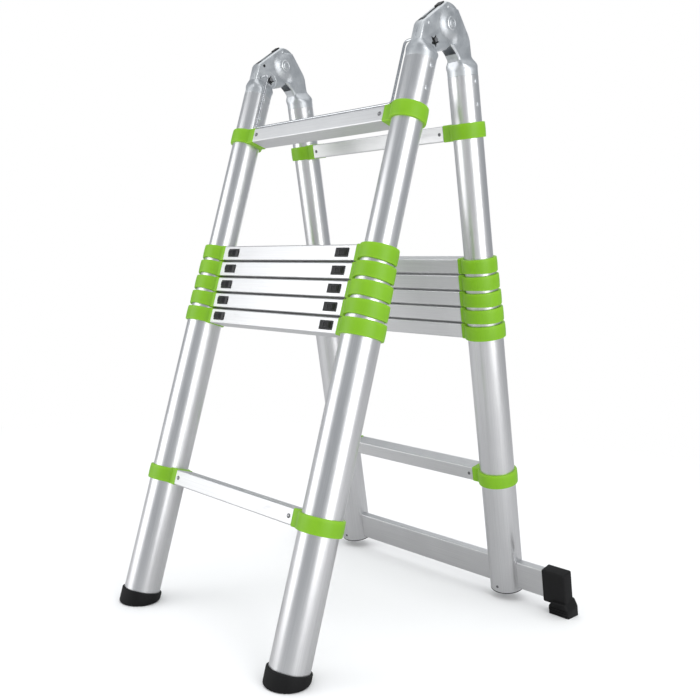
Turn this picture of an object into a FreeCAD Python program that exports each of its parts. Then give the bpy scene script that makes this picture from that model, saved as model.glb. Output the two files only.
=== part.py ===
import FreeCAD, Part
import math
import os

# Telescoping A-frame ladder: two sections of nested tubes hung from a pair of locking hinges.
#
# Millimetres. +X runs along the rungs, -Y is the climbing side, +Z is up, and the origin lies on the
# ground at the centre of the footprint. The ladder stands open, with its top stage drawn out.
#
# Each section is drawn in a frame of its own: the fold pivot is the origin, +Z runs up the stiles and
# -Y points away from the other section. The back section is the same frame turned half round.

V = FreeCAD.Vector
UP = V(0, 0, 1)
ALONG = V(1, 0, 0)

# Overall sizes
PIVOT_HEIGHT = 1144.0      # fold pivot above the ground
LEAN = 13.6                # each section from the vertical, degrees
STILE_SPACING = 465.0      # between the centre lines of the two stiles
STABILISER_LENGTH = 664.0  # the bar itself, without its rubber feet

# Telescoping tubes
BASE_TUBE_DIAMETER = 72.0
TUBE_WALL = 1.1
SLIDE_CLEARANCE = 0.3      # between one tube and the next, on the radius
FOLD_CLEARANCE = 0.5       # between the base rings and the plane they fold onto
TUBE_OVERLAP = 85.0        # tube still inside the next one when a stage is fully drawn out
TOP_TUBE_DROP = 92.0       # from the pivot down to the end of the top tubes

# Rungs
RUNG_7_DROP = 207.0        # from the pivot down to the underside of the top rung
OPEN_PITCH = 260.0         # between rungs with a stage drawn out
FRONT_BASE_PITCH = 338.0   # from rung 1 to rung 2, both fixed to the base tubes
BACK_BASE_PITCH = 318.0
RUNG_HEIGHT = 30.0
RUNG_DEPTH = 38.0
RUNG_WALL = 1.8
RUNG_CORNER = 2.5
TREAD_GROOVES = 5
GROOVE_WIDTH = 1.6
GROOVE_DEPTH = 0.6
GROOVE_PITCH = 5.2

# Collars that hold the rungs on the tubes
RING_WALL = 5.5
RING_SHORTFALL = 1.0       # rings are this much lower than the rungs
RING_CHAMFER = 1.2
STACK_GAP = 1.5            # between stacked bosses
BOSS_MARGIN = 1.0          # the boss stands this far proud of the rung all round
STACK_BOSS_REACH = 3.5     # from the ring to the rung, on rungs 2 to 6
FIXED_BOSS_REACH = 11.0    # the same, on rungs 1 and 7
LIP = 2.0                  # collar over the end of its tube
TENON_LENGTH = 12.0
TENON_CLEARANCE = 0.1

# Release buttons and their lock pins
BUTTON_LENGTH = 33.0
BUTTON_HEIGHT = 17.0
BUTTON_PROUD = 5.5
BUTTON_FROM_RING = 31.0    # from the middle of the button to the ring on the base tube
BUTTON_TRAVEL = 10.0
BUTTON_RIBS = 4
RIB_HEIGHT = 0.8
SLOT_HEIGHT = 8.0
STEM_LENGTH = 14.0
CARRIER_HEIGHT = 18.0
CARRIER_INSET = 2.0        # shorter than the button at each end
STEM_BITE = 1.0            # stem let into its carrier
RIB_WIDTH = 2.0
RIB_INSET = 2.0            # from the button's edge to the end of a rib
PIN_DIAMETER = 8.0
MOVING_CLEARANCE = 0.3

# Rivets
RIVET_DIAMETER = 5.0
RIVET_HEAD = 8.0
RIVET_HEAD_HEIGHT = 1.2
RUNG_RIVET_INSET = 9.0     # from the end of a rung
TUBE_RIVET_DROPS = (104.0, 146.0)

# Hinges
HINGE_RADIUS = 39.0
BACK_CHEEK_RADIUS = 30.0
FRONT_FACE_SETBACK = 4.0   # outer face of a front half, in from the outermost line of the top tube
BACK_FACE_SETBACK = 11.0   # the same on a back half
HINGE_PLATE = 3.0
HINGE_INNER_GAP = 9.0      # hinge middle to the inside of a front cheek
PLATE_CLEARANCE = 0.3
RIM_TOP_ANGLE = 30.7       # where the cover leaves the rim, from straight up
RIM_END_ANGLE = 11.6       # where the arch leaves the rim, from straight down
FRONT_FACE_TOP = 31.0      # from the pivot down to the top of the outer face
BACK_FACE_TOP = 22.0
WEB_MARGIN = 2.0           # from there to the top of the web
COVER_THICKNESS = 2.4
CHEEK_INNER_SETBACK = 7.0  # cheek's inner edge, in from the innermost line of the top tube
CHEEK_FOOT = 5.0           # cheek carried down past the top of the shoulder
ARCH_OUTSET = 12.0         # corner of the arch, out from the pivot
ARCH_RISE = 12.0           # and above the top of the shoulder
FLANGE_SHARE = 0.5         # of the way from that corner to the rim
SHOULDER_DROP = 70.0
PLUG_DROP = 160.0
PLUG_CLEARANCE = 0.2
PLUG_WALL = 2.5
PIVOT_PIN_DIAMETER = 14.0
PIVOT_FIT = 0.08
PIVOT_HEAD = 26.0
PIVOT_HEAD_HEIGHT = 3.0
DOME_HEIGHT = 2.0
DOME_MARGIN = 4.0          # flat rim left round the dome
DOME_SHELF = 2.0           # flat ring left round the pivot rivet's head
RATCHET_RADIUS = 32.0
RATCHET_TEETH = 12
TOOTH_WIDTH = 6.0
TOOTH_DEPTH = 4.0
RATCHET_CLEARANCE = 0.5
WINDOW_CENTRE = (27.0, 48.0)   # out from the pivot, and down from it
WINDOW_SIZE = (15.0, 20.0)
WINDOW_TILT = 27.0
BOLT_DIAMETER = 8.0
BOLT_TRAVEL = 6.0
BOLT_STAND_OUT = 2.0
BORE_OVERRUN = 1.0         # a cutting tool passes this far beyond the faces
COVER_RIVET = (50.0, 23.0)

# Release bail
BAIL_DIAMETER = 5.0
BAIL_CLEARANCE = 1.5
BAIL_OUTSET = 12.0         # in front of the plane of the stiles
BAIL_TOP_DROP = 52.0
BAIL_BEND = 8.0

# Feet and stabiliser
BOOT_WALL = 4.0
BOOT_HEIGHT = 23.0         # from its rim down to the sole, on the outer side
SOLE = 10.0
BACK_TUBE_LIFT = 25.2      # from the ground up to the end of the tubes, along the stile
END_PLUG_FLANGE = 2.0
END_PLUG_DEPTH = 4.0
BAR_HEIGHT = 61.0
BAR_DEPTH = 18.0
BAR_WALL = 2.0
BAR_LIFT = 31.2            # from the ground up to the bar, along the stile
CAP_LENGTH = 54.0
CAP_WALL = 6.0
CAP_SOCKET = 30.0
PAD_LENGTH = 46.0
PAD_OVERHANG = 7.0
PAD_DEPTH = 40.0
PAD_HEIGHT = 34.0
PAD_INNER_CUT = (8.0, 12.0)    # corner taken off the pad's inner shoulder, along and down
PAD_OUTER_CUT = 16.0           # the pad's outer slope, down from its top

# Derived sizes
STILE_X = STILE_SPACING / 2
BASE_RADIUS = BASE_TUBE_DIAMETER / 2
BUTTON_STATION = STILE_X - BASE_RADIUS - RING_WALL - BUTTON_FROM_RING   # from the middle of the rung
STILE_OFFSET = BASE_RADIUS + RING_WALL + FOLD_CLEARANCE   # from the fold pivot to the stiles
STILE_Y = -STILE_OFFSET
RING_HEIGHT = RUNG_HEIGHT - RING_SHORTFALL
CLOSED_PITCH = RUNG_HEIGHT + 2 * BOSS_MARGIN + STACK_GAP  # between rungs with a stage pushed in
TUBE_STEP = TUBE_WALL + SLIDE_CLEARANCE
TRAVEL = OPEN_PITCH - CLOSED_PITCH
TOP_STAGE = 7
BASE_STAGE = 2
TOP_RADIUS = BASE_RADIUS - (TOP_STAGE - BASE_STAGE) * TUBE_STEP
FRONT_FACE = (STILE_OFFSET + TOP_RADIUS - FRONT_FACE_SETBACK, FRONT_FACE_TOP)   # out from the pivot, down
BACK_FACE = (STILE_OFFSET + TOP_RADIUS - BACK_FACE_SETBACK, BACK_FACE_TOP)
CHEEK_INNER_EDGE = STILE_OFFSET - TOP_RADIUS + CHEEK_INNER_SETBACK
SLIDING_STAGES = range(BASE_STAGE + 1, TOP_STAGE)
FRONT_CHEEK = (HINGE_INNER_GAP, HINGE_INNER_GAP + HINGE_PLATE)
BACK_CHEEK = (FRONT_CHEEK[1] + PLATE_CLEARANCE, FRONT_CHEEK[1] + PLATE_CLEARANCE + HINGE_PLATE)
SIN = math.sin(math.radians(LEAN))
COS = math.cos(math.radians(LEAN))

nodes = {}


# Small helpers

def box(x, y, z):
    """A box between two values on each axis, given in either order."""
    low = V(min(x), min(y), min(z))
    return Part.makeBox(max(x) - low.x, max(y) - low.y, max(z) - low.z, low)


def rod(start, end, diameter):
    """A round bar between two points."""
    return Part.makeCylinder(diameter / 2, (end - start).Length, start, end - start)


def pipe(x, y, outer, inner, z):
    """An upright round tube between two heights."""
    low, high = min(z), max(z)
    centre = V(x, y, low)
    skin = Part.makeCylinder(outer, high - low, centre)
    return skin.cut(Part.makeCylinder(inner, high - low, centre))


def plate(outline, x):
    """A flat plate square to X, between two values of x, from an outline in Y and Z."""
    points = [V(min(x), y, z) for y, z in outline]
    face = Part.Face(Part.makePolygon(points + points[:1]))
    return face.extrude(ALONG * (max(x) - min(x)))


def edges_along(shape, direction):
    """The straight edges of a shape that run one way."""
    found = []
    for edge in shape.Edges:
        run = edge.Vertexes[-1].Point - edge.Vertexes[0].Point
        if run.Length > 0 and abs(run.normalize().dot(direction)) > 0.999:
            found.append(edge)
    return found


def rivet(base, outward, grip):
    """A domed blind rivet: its head on the surface at base, its shank going in behind it."""
    head = Part.makeCone(RIVET_HEAD / 2, RIVET_HEAD / 3, RIVET_HEAD_HEIGHT, base, outward)
    shank = Part.makeCylinder(RIVET_DIAMETER / 2, grip, base, outward * -1)
    return head.fuse(shank)


# Places along the stiles, in the section frame

def tube_radius(stage):
    """Outer radius of a stage's tubes; stage 2 is the base, stage 7 the top."""
    return BASE_RADIUS - (stage - BASE_STAGE) * TUBE_STEP


def rung_bottom(rung, base_pitch):
    """Height of a rung's underside."""
    if rung == TOP_STAGE:
        return -RUNG_7_DROP
    bundle = -RUNG_7_DROP - OPEN_PITCH
    if rung == 1:
        return bundle - (TOP_STAGE - 1 - BASE_STAGE) * CLOSED_PITCH - base_pitch
    return bundle - (TOP_STAGE - 1 - rung) * CLOSED_PITCH


def rung_middle(rung, base_pitch):
    """Height of a rung's centre line."""
    return rung_bottom(rung, base_pitch) + RUNG_HEIGHT / 2


def tube_top(stage, base_pitch):
    """Height of the upper end of a stage's tubes."""
    if stage == TOP_STAGE:
        return -TOP_TUBE_DROP
    return rung_middle(stage, base_pitch) + RING_HEIGHT / 2 - LIP


def tube_bottom(stage, base_pitch):
    """Height of the lower end of a sliding stage's tubes."""
    drawn_in = 0 if stage == TOP_STAGE else TRAVEL
    return tube_top(stage - 1, base_pitch) - TUBE_OVERLAP - drawn_in


def ground(y):
    """Height of the ground under a place on the section."""
    return (y * SIN - PIVOT_HEIGHT) / COS


def boss_reach(rung):
    """Distance from a stile's centre line to the end of the rung."""
    stage = max(rung, BASE_STAGE)
    extra = FIXED_BOSS_REACH if rung in (1, TOP_STAGE) else STACK_BOSS_REACH
    return tube_radius(stage) + RING_WALL + extra


def rung_end(rung):
    """Half the length of a rung."""
    return STILE_X - boss_reach(rung)


# Parts of a section

def stile_tubes(stage, base_pitch, bottom):
    """The pair of tubes of one stage, with the holes that their lock pins pass or drop into."""
    radius = tube_radius(stage)
    ends = (bottom, tube_top(stage, base_pitch))
    holes = []
    if stage < TOP_STAGE:
        holes.append(rung_middle(stage, base_pitch))
    if stage > BASE_STAGE:
        drawn_in = 0 if stage == TOP_STAGE else TRAVEL
        holes.append(rung_middle(stage - 1, base_pitch) - drawn_in)
    tubes = []
    for side in (-1, 1):
        tube = pipe(side * STILE_X, STILE_Y, radius, radius - TUBE_WALL, ends)
        for height in holes:
            start = V(side * STILE_X, STILE_Y, height)
            end = V(side * (STILE_X - radius - RING_WALL), STILE_Y, height)
            tube = tube.cut(rod(start, end, PIN_DIAMETER + 2 * MOVING_CLEARANCE))
        tubes.append(tube)
    return tubes


def collar(rung, side, base_pitch):
    """A moulded collar: a ring round the tube, a flat boss and a tenon inside the rung."""
    stage = max(rung, BASE_STAGE)
    radius = tube_radius(stage)
    middle = rung_middle(rung, base_pitch)
    low, high = middle - RING_HEIGHT / 2, middle + RING_HEIGHT / 2
    outer = radius + RING_WALL
    profile = [
        V(0, 0, low), V(outer - RING_CHAMFER, 0, low), V(outer, 0, low + RING_CHAMFER),
        V(outer, 0, high - RING_CHAMFER), V(outer - RING_CHAMFER, 0, high), V(0, 0, high),
    ]
    body = Part.Face(Part.makePolygon(profile + profile[:1])).revolve(V(0, 0, 0), UP, 360)
    body.translate(V(side * STILE_X, STILE_Y, 0))

    half_depth = RUNG_DEPTH / 2 + BOSS_MARGIN
    half_height = RUNG_HEIGHT / 2 + BOSS_MARGIN
    boss = box(
        (side * rung_end(rung), side * STILE_X),
        (STILE_Y - half_depth, STILE_Y + half_depth),
        (middle - half_height, middle + half_height),
    )
    boss = boss.makeFillet(RUNG_CORNER, edges_along(boss, ALONG))
    tenon_depth = RUNG_DEPTH / 2 - RUNG_WALL - TENON_CLEARANCE
    tenon_height = RUNG_HEIGHT / 2 - RUNG_WALL - TENON_CLEARANCE
    tenon = box(
        (side * (rung_end(rung) - TENON_LENGTH), side * STILE_X),
        (STILE_Y - tenon_depth, STILE_Y + tenon_depth),
        (middle - tenon_height, middle + tenon_height),
    )
    body = body.fuse([boss, tenon])

    stacked = rung not in (1, TOP_STAGE)
    overrun = 2 * BOSS_MARGIN
    bore_top = high - LIP if stacked else high + overrun
    bore_low = low - overrun
    centre = V(side * STILE_X, STILE_Y, bore_low)
    body = body.cut(Part.makeCylinder(radius, bore_top - bore_low, centre))
    if stacked:
        mouth = Part.makeCylinder(radius - TUBE_WALL, high - low + 2 * overrun, centre)
        body = body.cut(mouth)
        start = V(side * STILE_X, STILE_Y, middle)
        end = V(side * (rung_end(rung) - TENON_LENGTH), STILE_Y, middle)
        body = body.cut(rod(start, end, PIN_DIAMETER + 2 * MOVING_CLEARANCE))
    else:
        body = body.cut(rung_rivet_shank(rung, side, base_pitch))
    return body


def rung_rivet_place(rung, side, base_pitch):
    """Where a rivet enters the outer face of a fixed rung."""
    x = side * (rung_end(rung) - RUNG_RIVET_INSET)
    return V(x, STILE_Y - RUNG_DEPTH / 2, rung_middle(rung, base_pitch))


def rung_rivet_shank(rung, side, base_pitch):
    """The shank of that rivet, as the hole it needs."""
    return rivet(rung_rivet_place(rung, side, base_pitch), V(0, -1, 0), RUNG_DEPTH / 2)


def rung_bar(rung, base_pitch):
    """A hollow rung with a grooved tread, slots for its buttons, or rivets if it is fixed."""
    middle = rung_middle(rung, base_pitch)
    end = rung_end(rung)
    top = middle + RUNG_HEIGHT / 2
    bar = box(
        (-end, end),
        (STILE_Y - RUNG_DEPTH / 2, STILE_Y + RUNG_DEPTH / 2),
        (middle - RUNG_HEIGHT / 2, top),
    )
    bar = bar.makeFillet(RUNG_CORNER, edges_along(bar, ALONG))
    inner_depth = RUNG_DEPTH / 2 - RUNG_WALL
    inner_height = RUNG_HEIGHT / 2 - RUNG_WALL
    bar = bar.cut(box(
        (-end, end),
        (STILE_Y - inner_depth, STILE_Y + inner_depth),
        (middle - inner_height, middle + inner_height),
    ))
    for index in range(TREAD_GROOVES):
        y = STILE_Y + (index - (TREAD_GROOVES - 1) / 2) * GROOVE_PITCH
        bar = bar.cut(box(
            (-end, end),
            (y - GROOVE_WIDTH / 2, y + GROOVE_WIDTH / 2),
            (top - GROOVE_DEPTH, top + GROOVE_DEPTH),
        ))
    if rung in (1, TOP_STAGE):
        pieces = []
        for side in (-1, 1):
            shank = rung_rivet_shank(rung, side, base_pitch)
            bar = bar.cut(shank)
            pieces.append(shank)
        return [bar] + pieces
    face = STILE_Y - RUNG_DEPTH / 2
    for side in (-1, 1):
        slot_outer = BUTTON_STATION + STEM_LENGTH / 2 + MOVING_CLEARANCE
        slot_inner = BUTTON_STATION - STEM_LENGTH / 2 - BUTTON_TRAVEL - MOVING_CLEARANCE
        bar = bar.cut(box(
            (side * slot_inner, side * slot_outer),
            (face - RUNG_WALL, face + 2 * RUNG_WALL),
            (middle - SLOT_HEIGHT / 2, middle + SLOT_HEIGHT / 2),
        ))
    return [bar]


def button(rung, side, base_pitch):
    """A thumb button on the rung's outer face, its carrier inside and the lock pin it draws."""
    middle = rung_middle(rung, base_pitch)
    face = STILE_Y - RUNG_DEPTH / 2
    half = BUTTON_LENGTH / 2
    outer = face - BUTTON_PROUD
    thumb = box(
        (side * (BUTTON_STATION - half), side * (BUTTON_STATION + half)),
        (face - MOVING_CLEARANCE, outer),
        (middle - BUTTON_HEIGHT / 2, middle + BUTTON_HEIGHT / 2),
    )
    ribs = []
    for index in range(BUTTON_RIBS):
        x = BUTTON_STATION + (index - (BUTTON_RIBS - 1) / 2) * BUTTON_LENGTH / (BUTTON_RIBS + 1)
        ribs.append(box(
            (side * (x - RIB_WIDTH / 2), side * (x + RIB_WIDTH / 2)),
            (outer, outer - RIB_HEIGHT),
            (middle - BUTTON_HEIGHT / 2 + RIB_INSET, middle + BUTTON_HEIGHT / 2 - RIB_INSET),
        ))
    inner_face = face + RUNG_WALL + MOVING_CLEARANCE
    stem = box(
        (side * (BUTTON_STATION - STEM_LENGTH / 2), side * (BUTTON_STATION + STEM_LENGTH / 2)),
        (face - MOVING_CLEARANCE * 2, inner_face + STEM_BITE),
        (middle - SLOT_HEIGHT / 2 + MOVING_CLEARANCE, middle + SLOT_HEIGHT / 2 - MOVING_CLEARANCE),
    )
    carrier = box(
        (side * (BUTTON_STATION - half + CARRIER_INSET), side * (BUTTON_STATION + half - CARRIER_INSET)),
        (inner_face, STILE_Y + PIN_DIAMETER / 2),
        (middle - CARRIER_HEIGHT / 2, middle + CARRIER_HEIGHT / 2),
    )
    inner_tube = tube_radius(rung + 1) + MOVING_CLEARANCE
    tip = V(side * (STILE_X - inner_tube - SLIDE_CLEARANCE), STILE_Y, middle)
    pin = rod(V(side * BUTTON_STATION, STILE_Y, middle), tip, PIN_DIAMETER)
    return thumb.fuse(ribs + [stem, carrier, pin])


# Hinges

def cover_line(face):
    """The two ends, in Y and Z, of the slope from the hinge's rim to the top of its outer face."""
    start = math.radians(RIM_TOP_ANGLE)
    rim_top = (-HINGE_RADIUS * math.sin(start), HINGE_RADIUS * math.cos(start))
    return [rim_top, (-face[0], -face[1])]


def hinge_cover(side):
    """The plate that closes a front half along that slope, between its cheeks."""
    top, low = [V(0, y, z) for y, z in cover_line(FRONT_FACE)]
    inward = (top - low).cross(ALONG).normalize() * -COVER_THICKNESS
    if inward.dot(top) > 0:
        inward = inward * -1
    web_top = low.z - WEB_MARGIN
    corners = [top, low, V(0, low.y, web_top), V(0, low.y + HINGE_PLATE, web_top)]
    corners += [low + inward, top + inward]
    centre = side * STILE_X
    return plate([(c.y, c.z) for c in corners], (centre - FRONT_CHEEK[0], centre + FRONT_CHEEK[0]))


def arch_line():
    """The inner edge of a hinge half in Y and Z, from its foot up to the rim."""
    inner = CHEEK_INNER_EDGE
    end = math.radians(RIM_END_ANGLE)
    return [
        (-inner, -SHOULDER_DROP - CHEEK_FOOT), (-ARCH_OUTSET, -SHOULDER_DROP + ARCH_RISE),
        (HINGE_RADIUS * math.sin(end), -HINGE_RADIUS * math.cos(end)),
    ]


def arch_flange(side, half_width):
    """The plate that joins the two cheeks along the arch, below the turning rim of the other half."""
    foot, corner, rim = [V(0, y, z) for y, z in arch_line()]
    top = corner + (rim - corner) * FLANGE_SHARE
    along = V(0, -HINGE_PLATE, 0)
    corners = [foot, corner, top, top + along, corner + along, foot + along]
    centre = side * STILE_X
    return plate([(c.y, c.z) for c in corners], (centre - half_width, centre + half_width))


def cheek_outline(face):
    """Outline of a hinge half in Y and Z, without the round part at the pivot."""
    inner = CHEEK_INNER_EDGE
    return [
        (0, 0), *cover_line(face), (-face[0], -TOP_TUBE_DROP), (-inner, -TOP_TUBE_DROP), *arch_line(),
    ]


def cheek(x, radius, side, face):
    """One side plate of a hinge half."""
    centre = side * STILE_X
    span = (centre + x[0], centre + x[1])
    disc = rod(V(span[0], 0, 0), V(span[1], 0, 0), 2 * radius)
    shape = plate(cheek_outline(face), span).fuse(disc)
    if radius < HINGE_RADIUS:
        keep = rod(V(span[0], 0, 0), V(span[1], 0, 0), 2 * radius)
        below = box(span, (-2 * face[0], 0), (-2 * TOP_TUBE_DROP, radius))
        shape = shape.common(keep.fuse(below))
    return shape


def hinge_half(side, cheeks, radius, pin_hole, face):
    """A pressed hinge half: two cheeks, a web, a flange, a round shoulder and the plug in the tube."""
    centre = side * STILE_X
    plug_radius = tube_radius(TOP_STAGE) - TUBE_WALL - PLUG_CLEARANCE
    parts = []
    for way in (-1, 1):
        parts.append(cheek((way * cheeks[0], way * cheeks[1]), radius, side, face))
    parts.append(arch_flange(side, cheeks[1]))
    parts.append(box(
        (centre - cheeks[1], centre + cheeks[1]),
        (-face[0], -face[0] + HINGE_PLATE),
        (-face[1] - WEB_MARGIN, -TOP_TUBE_DROP),
    ))
    shoulder = (-SHOULDER_DROP, -TOP_TUBE_DROP)
    parts.append(pipe(centre, STILE_Y, tube_radius(TOP_STAGE), plug_radius - PLUG_WALL, shoulder))
    plug = (-SHOULDER_DROP, -PLUG_DROP)
    parts.append(pipe(centre, STILE_Y, plug_radius, plug_radius - PLUG_WALL, plug))
    shape = parts[0].fuse(parts[1:])
    reach = ALONG * (cheeks[1] + BORE_OVERRUN)
    shape = shape.cut(rod(V(centre, 0, 0) - reach, V(centre, 0, 0) + reach, pin_hole))
    for drop in TUBE_RIVET_DROPS:
        shape = shape.cut(tube_rivet(side, drop))
    return shape


def tube_rivet(side, drop):
    """A rivet right through the top tube and the hinge's plug, headed at both ends."""
    centre = V(side * STILE_X, STILE_Y, -drop)
    radius = tube_radius(TOP_STAGE)
    pin = rod(centre - ALONG * radius, centre + ALONG * radius, RIVET_DIAMETER)
    heads = []
    for way in (-1, 1):
        base = centre + ALONG * (way * radius)
        heads.append(Part.makeCone(RIVET_HEAD / 2, RIVET_HEAD / 3, RIVET_HEAD_HEIGHT, base, ALONG * way))
    return pin.fuse(heads)


def lock_window(side):
    """The tilted square window in the front cheeks, through which the lock bolt shows."""
    centre = V(side * STILE_X, -WINDOW_CENTRE[0], -WINDOW_CENTRE[1])
    half_x = FRONT_CHEEK[1] + BORE_OVERRUN
    window = box(
        (centre.x - half_x, centre.x + half_x),
        (centre.y - WINDOW_SIZE[0] / 2, centre.y + WINDOW_SIZE[0] / 2),
        (centre.z - WINDOW_SIZE[1] / 2, centre.z + WINDOW_SIZE[1] / 2),
    )
    window.rotate(centre, ALONG, WINDOW_TILT)
    return window


def front_hinge_parts():
    """Both front hinge halves, with their cover rivets and tube rivets."""
    parts = []
    for side in (-1, 1):
        bore = PIVOT_PIN_DIAMETER + 2 * PIVOT_FIT
        shell = hinge_half(side, FRONT_CHEEK, HINGE_RADIUS, bore, FRONT_FACE)
        shell = shell.fuse(hinge_cover(side)).cut(lock_window(side))
        for way in (-1, 1):
            base = V(side * STILE_X + way * FRONT_CHEEK[1], -COVER_RIVET[0], -COVER_RIVET[1])
            pin = rivet(base, V(way, 0, 0), HINGE_PLATE)
            shell = shell.cut(pin)
            parts.append(pin)
        parts.append(shell)
        parts += [tube_rivet(side, drop) for drop in TUBE_RIVET_DROPS]
    return parts


def back_hinge_parts():
    """Both back hinge halves, each cheek domed round the pivot, with their tube rivets."""
    parts = []
    for side in (-1, 1):
        shell = hinge_half(side, BACK_CHEEK, BACK_CHEEK_RADIUS, PIVOT_PIN_DIAMETER, BACK_FACE)
        for way in (-1, 1):
            base = V(side * STILE_X + way * BACK_CHEEK[1], 0, 0)
            dome = Part.makeCone(
                BACK_CHEEK_RADIUS - DOME_MARGIN, PIVOT_HEAD / 2 + DOME_SHELF, DOME_HEIGHT, base, V(way, 0, 0))
            bore = Part.makeCylinder(PIVOT_PIN_DIAMETER / 2, DOME_HEIGHT, base, V(way, 0, 0))
            shell = shell.fuse(dome.cut(bore))
        parts.append(shell)
        parts += [tube_rivet(side, drop) for drop in TUBE_RIVET_DROPS]
    return parts


def pivot_pins():
    """The two rivets that the hinges turn on."""
    pins = []
    half = BACK_CHEEK[1] + DOME_HEIGHT
    for side in (-1, 1):
        centre = V(side * STILE_X, 0, 0)
        pin = rod(centre - ALONG * half, centre + ALONG * half, PIVOT_PIN_DIAMETER)
        for way in (-1, 1):
            head = Part.makeCone(
                PIVOT_HEAD / 2, PIVOT_HEAD / 3, PIVOT_HEAD_HEIGHT,
                centre + ALONG * (way * half), ALONG * way)
            pin = pin.fuse(head)
        pins.append(pin)
    return pins


def ratchets():
    """The toothed plates between the front cheeks, each pressed onto its pivot rivet."""
    half = HINGE_INNER_GAP - RATCHET_CLEARANCE
    plates = []
    for side in (-1, 1):
        centre = side * STILE_X
        span = (centre - half, centre + half)
        disc = rod(V(span[0], 0, 0), V(span[1], 0, 0), 2 * RATCHET_RADIUS)
        for index in range(RATCHET_TEETH):
            notch = box(
                span,
                (-TOOTH_WIDTH / 2, TOOTH_WIDTH / 2),
                (RATCHET_RADIUS - TOOTH_DEPTH, RATCHET_RADIUS + TOOTH_DEPTH),
            )
            notch.rotate(V(0, 0, 0), ALONG, 360 / RATCHET_TEETH * index)
            disc = disc.cut(notch)
        bore = rod(V(span[0], 0, 0), V(span[1], 0, 0), PIVOT_PIN_DIAMETER)
        plates.append(disc.cut(bore))
    return plates


def lock_bolts():
    """The cross bolts that drop between the ratchet's teeth."""
    bolts = []
    half = FRONT_CHEEK[1] + BOLT_STAND_OUT
    for side in (-1, 1):
        y, z = -WINDOW_CENTRE[0], -WINDOW_CENTRE[1] + BOLT_TRAVEL / 2
        bolts.append(rod(V(side * STILE_X - half, y, z), V(side * STILE_X + half, y, z), BOLT_DIAMETER))
    return bolts


def release_bail(base_pitch):
    """The bent wire that links both locks: a bar over the top rung and two legs to the hinges."""
    y = STILE_Y - BAIL_OUTSET
    radius = BAIL_DIAMETER / 2
    boss_top = rung_bottom(TOP_STAGE, base_pitch) + RUNG_HEIGHT + BOSS_MARGIN
    low = boss_top + BAIL_CLEARANCE + radius
    ring = tube_radius(TOP_STAGE) + RING_WALL
    leg_x = STILE_X - math.sqrt(ring ** 2 - BAIL_OUTSET ** 2) - BAIL_CLEARANCE - radius
    tip_x = STILE_X - FRONT_CHEEK[1] - BAIL_CLEARANCE
    high = -BAIL_TOP_DROP
    bend = BAIL_BEND
    slant = bend * (1 - math.sqrt(0.5))
    edges = []
    for side in (-1, 1):
        foot_start = V(side * (leg_x - bend), y, low)
        foot_middle = V(side * (leg_x - slant), y, low + slant)
        foot_end = V(side * leg_x, y, low + bend)
        head_start = V(side * leg_x, y, high - bend)
        head_middle = V(side * (leg_x + slant), y, high - slant)
        head_end = V(side * (leg_x + bend), y, high)
        leg = [
            Part.Arc(foot_start, foot_middle, foot_end).toShape(),
            Part.LineSegment(foot_end, head_start).toShape(),
            Part.Arc(head_start, head_middle, head_end).toShape(),
            Part.LineSegment(head_end, V(side * tip_x, y, high)).toShape(),
        ]
        edges.append(leg)
    bar = Part.LineSegment(V(-(leg_x - bend), y, low), V(leg_x - bend, y, low)).toShape()
    left = [edge for edge in reversed(edges[0])]
    path = Part.Wire(left + [bar] + edges[1])
    circle = Part.Circle(V(-tip_x, y, high), ALONG, radius).toShape()
    return path.makePipeShell([Part.Wire([circle])], True, False)


# Feet and stabiliser

def boots():
    """Rubber boots on the front tubes; the ground cuts their soles."""
    outer = BASE_RADIUS + BOOT_WALL
    tube_end = ground(STILE_Y + BASE_RADIUS) + SOLE
    rim = ground(STILE_Y) + BOOT_HEIGHT
    deep = ground(STILE_Y - outer) - SOLE
    parts = []
    for side in (-1, 1):
        centre = V(side * STILE_X, STILE_Y, deep)
        boot = Part.makeCylinder(outer, rim - deep, centre)
        bore = Part.makeCylinder(BASE_RADIUS, rim - tube_end, V(centre.x, centre.y, tube_end))
        parts.append(boot.cut(bore))
    return parts


def bar_bottom():
    """Height of the stabiliser's underside."""
    return ground(STILE_Y) + BAR_LIFT


def bar_section(grow, x, wall=0.0):
    """The stabiliser's section, between two values of x, grown or shrunk all round."""
    return box(
        x,
        (STILE_Y - BAR_DEPTH / 2 - grow + wall, STILE_Y + BAR_DEPTH / 2 + grow - wall),
        (bar_bottom() + BAR_HEIGHT + grow - wall, bar_bottom() - grow + wall),
    )


def stabiliser_bar():
    """A flat rectangular tube through slots in both back tubes."""
    half = STABILISER_LENGTH / 2 + CAP_SOCKET
    outer = bar_section(0, (-half, half))
    outer = outer.makeFillet(BAR_WALL, edges_along(outer, ALONG))
    return outer.cut(bar_section(0, (-half, half), BAR_WALL))


def stabiliser_feet():
    """Rubber end caps, each with a thick pad that reaches down to the ground."""
    parts = []
    start = STABILISER_LENGTH / 2
    for side in (-1, 1):
        x = (side * start, side * (start + CAP_LENGTH))
        cap = bar_section(CAP_WALL, x)
        cap = cap.makeChamfer(CAP_WALL / 2, edges_along(cap, ALONG))
        low = ground(STILE_Y) - SOLE
        centre = start + CAP_LENGTH - PAD_LENGTH / 2 + PAD_OVERHANG
        half = PAD_LENGTH / 2
        top = ground(STILE_Y) + PAD_HEIGHT
        outline = [
            (centre - half, low), (centre - half, top - PAD_INNER_CUT[1]),
            (centre - half + PAD_INNER_CUT[0], top), (centre + half - PAD_OVERHANG, top),
            (centre + half, top - PAD_OUTER_CUT), (centre + half, low),
        ]
        points = [V(side * px, STILE_Y - PAD_DEPTH / 2, pz) for px, pz in outline]
        pad = Part.Face(Part.makePolygon(points + points[:1])).extrude(V(0, PAD_DEPTH, 0))
        foot = cap.fuse(pad)
        socket = (side * start, side * (start + CAP_SOCKET))
        parts.append(foot.cut(bar_section(0, socket)))
    return parts


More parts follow.
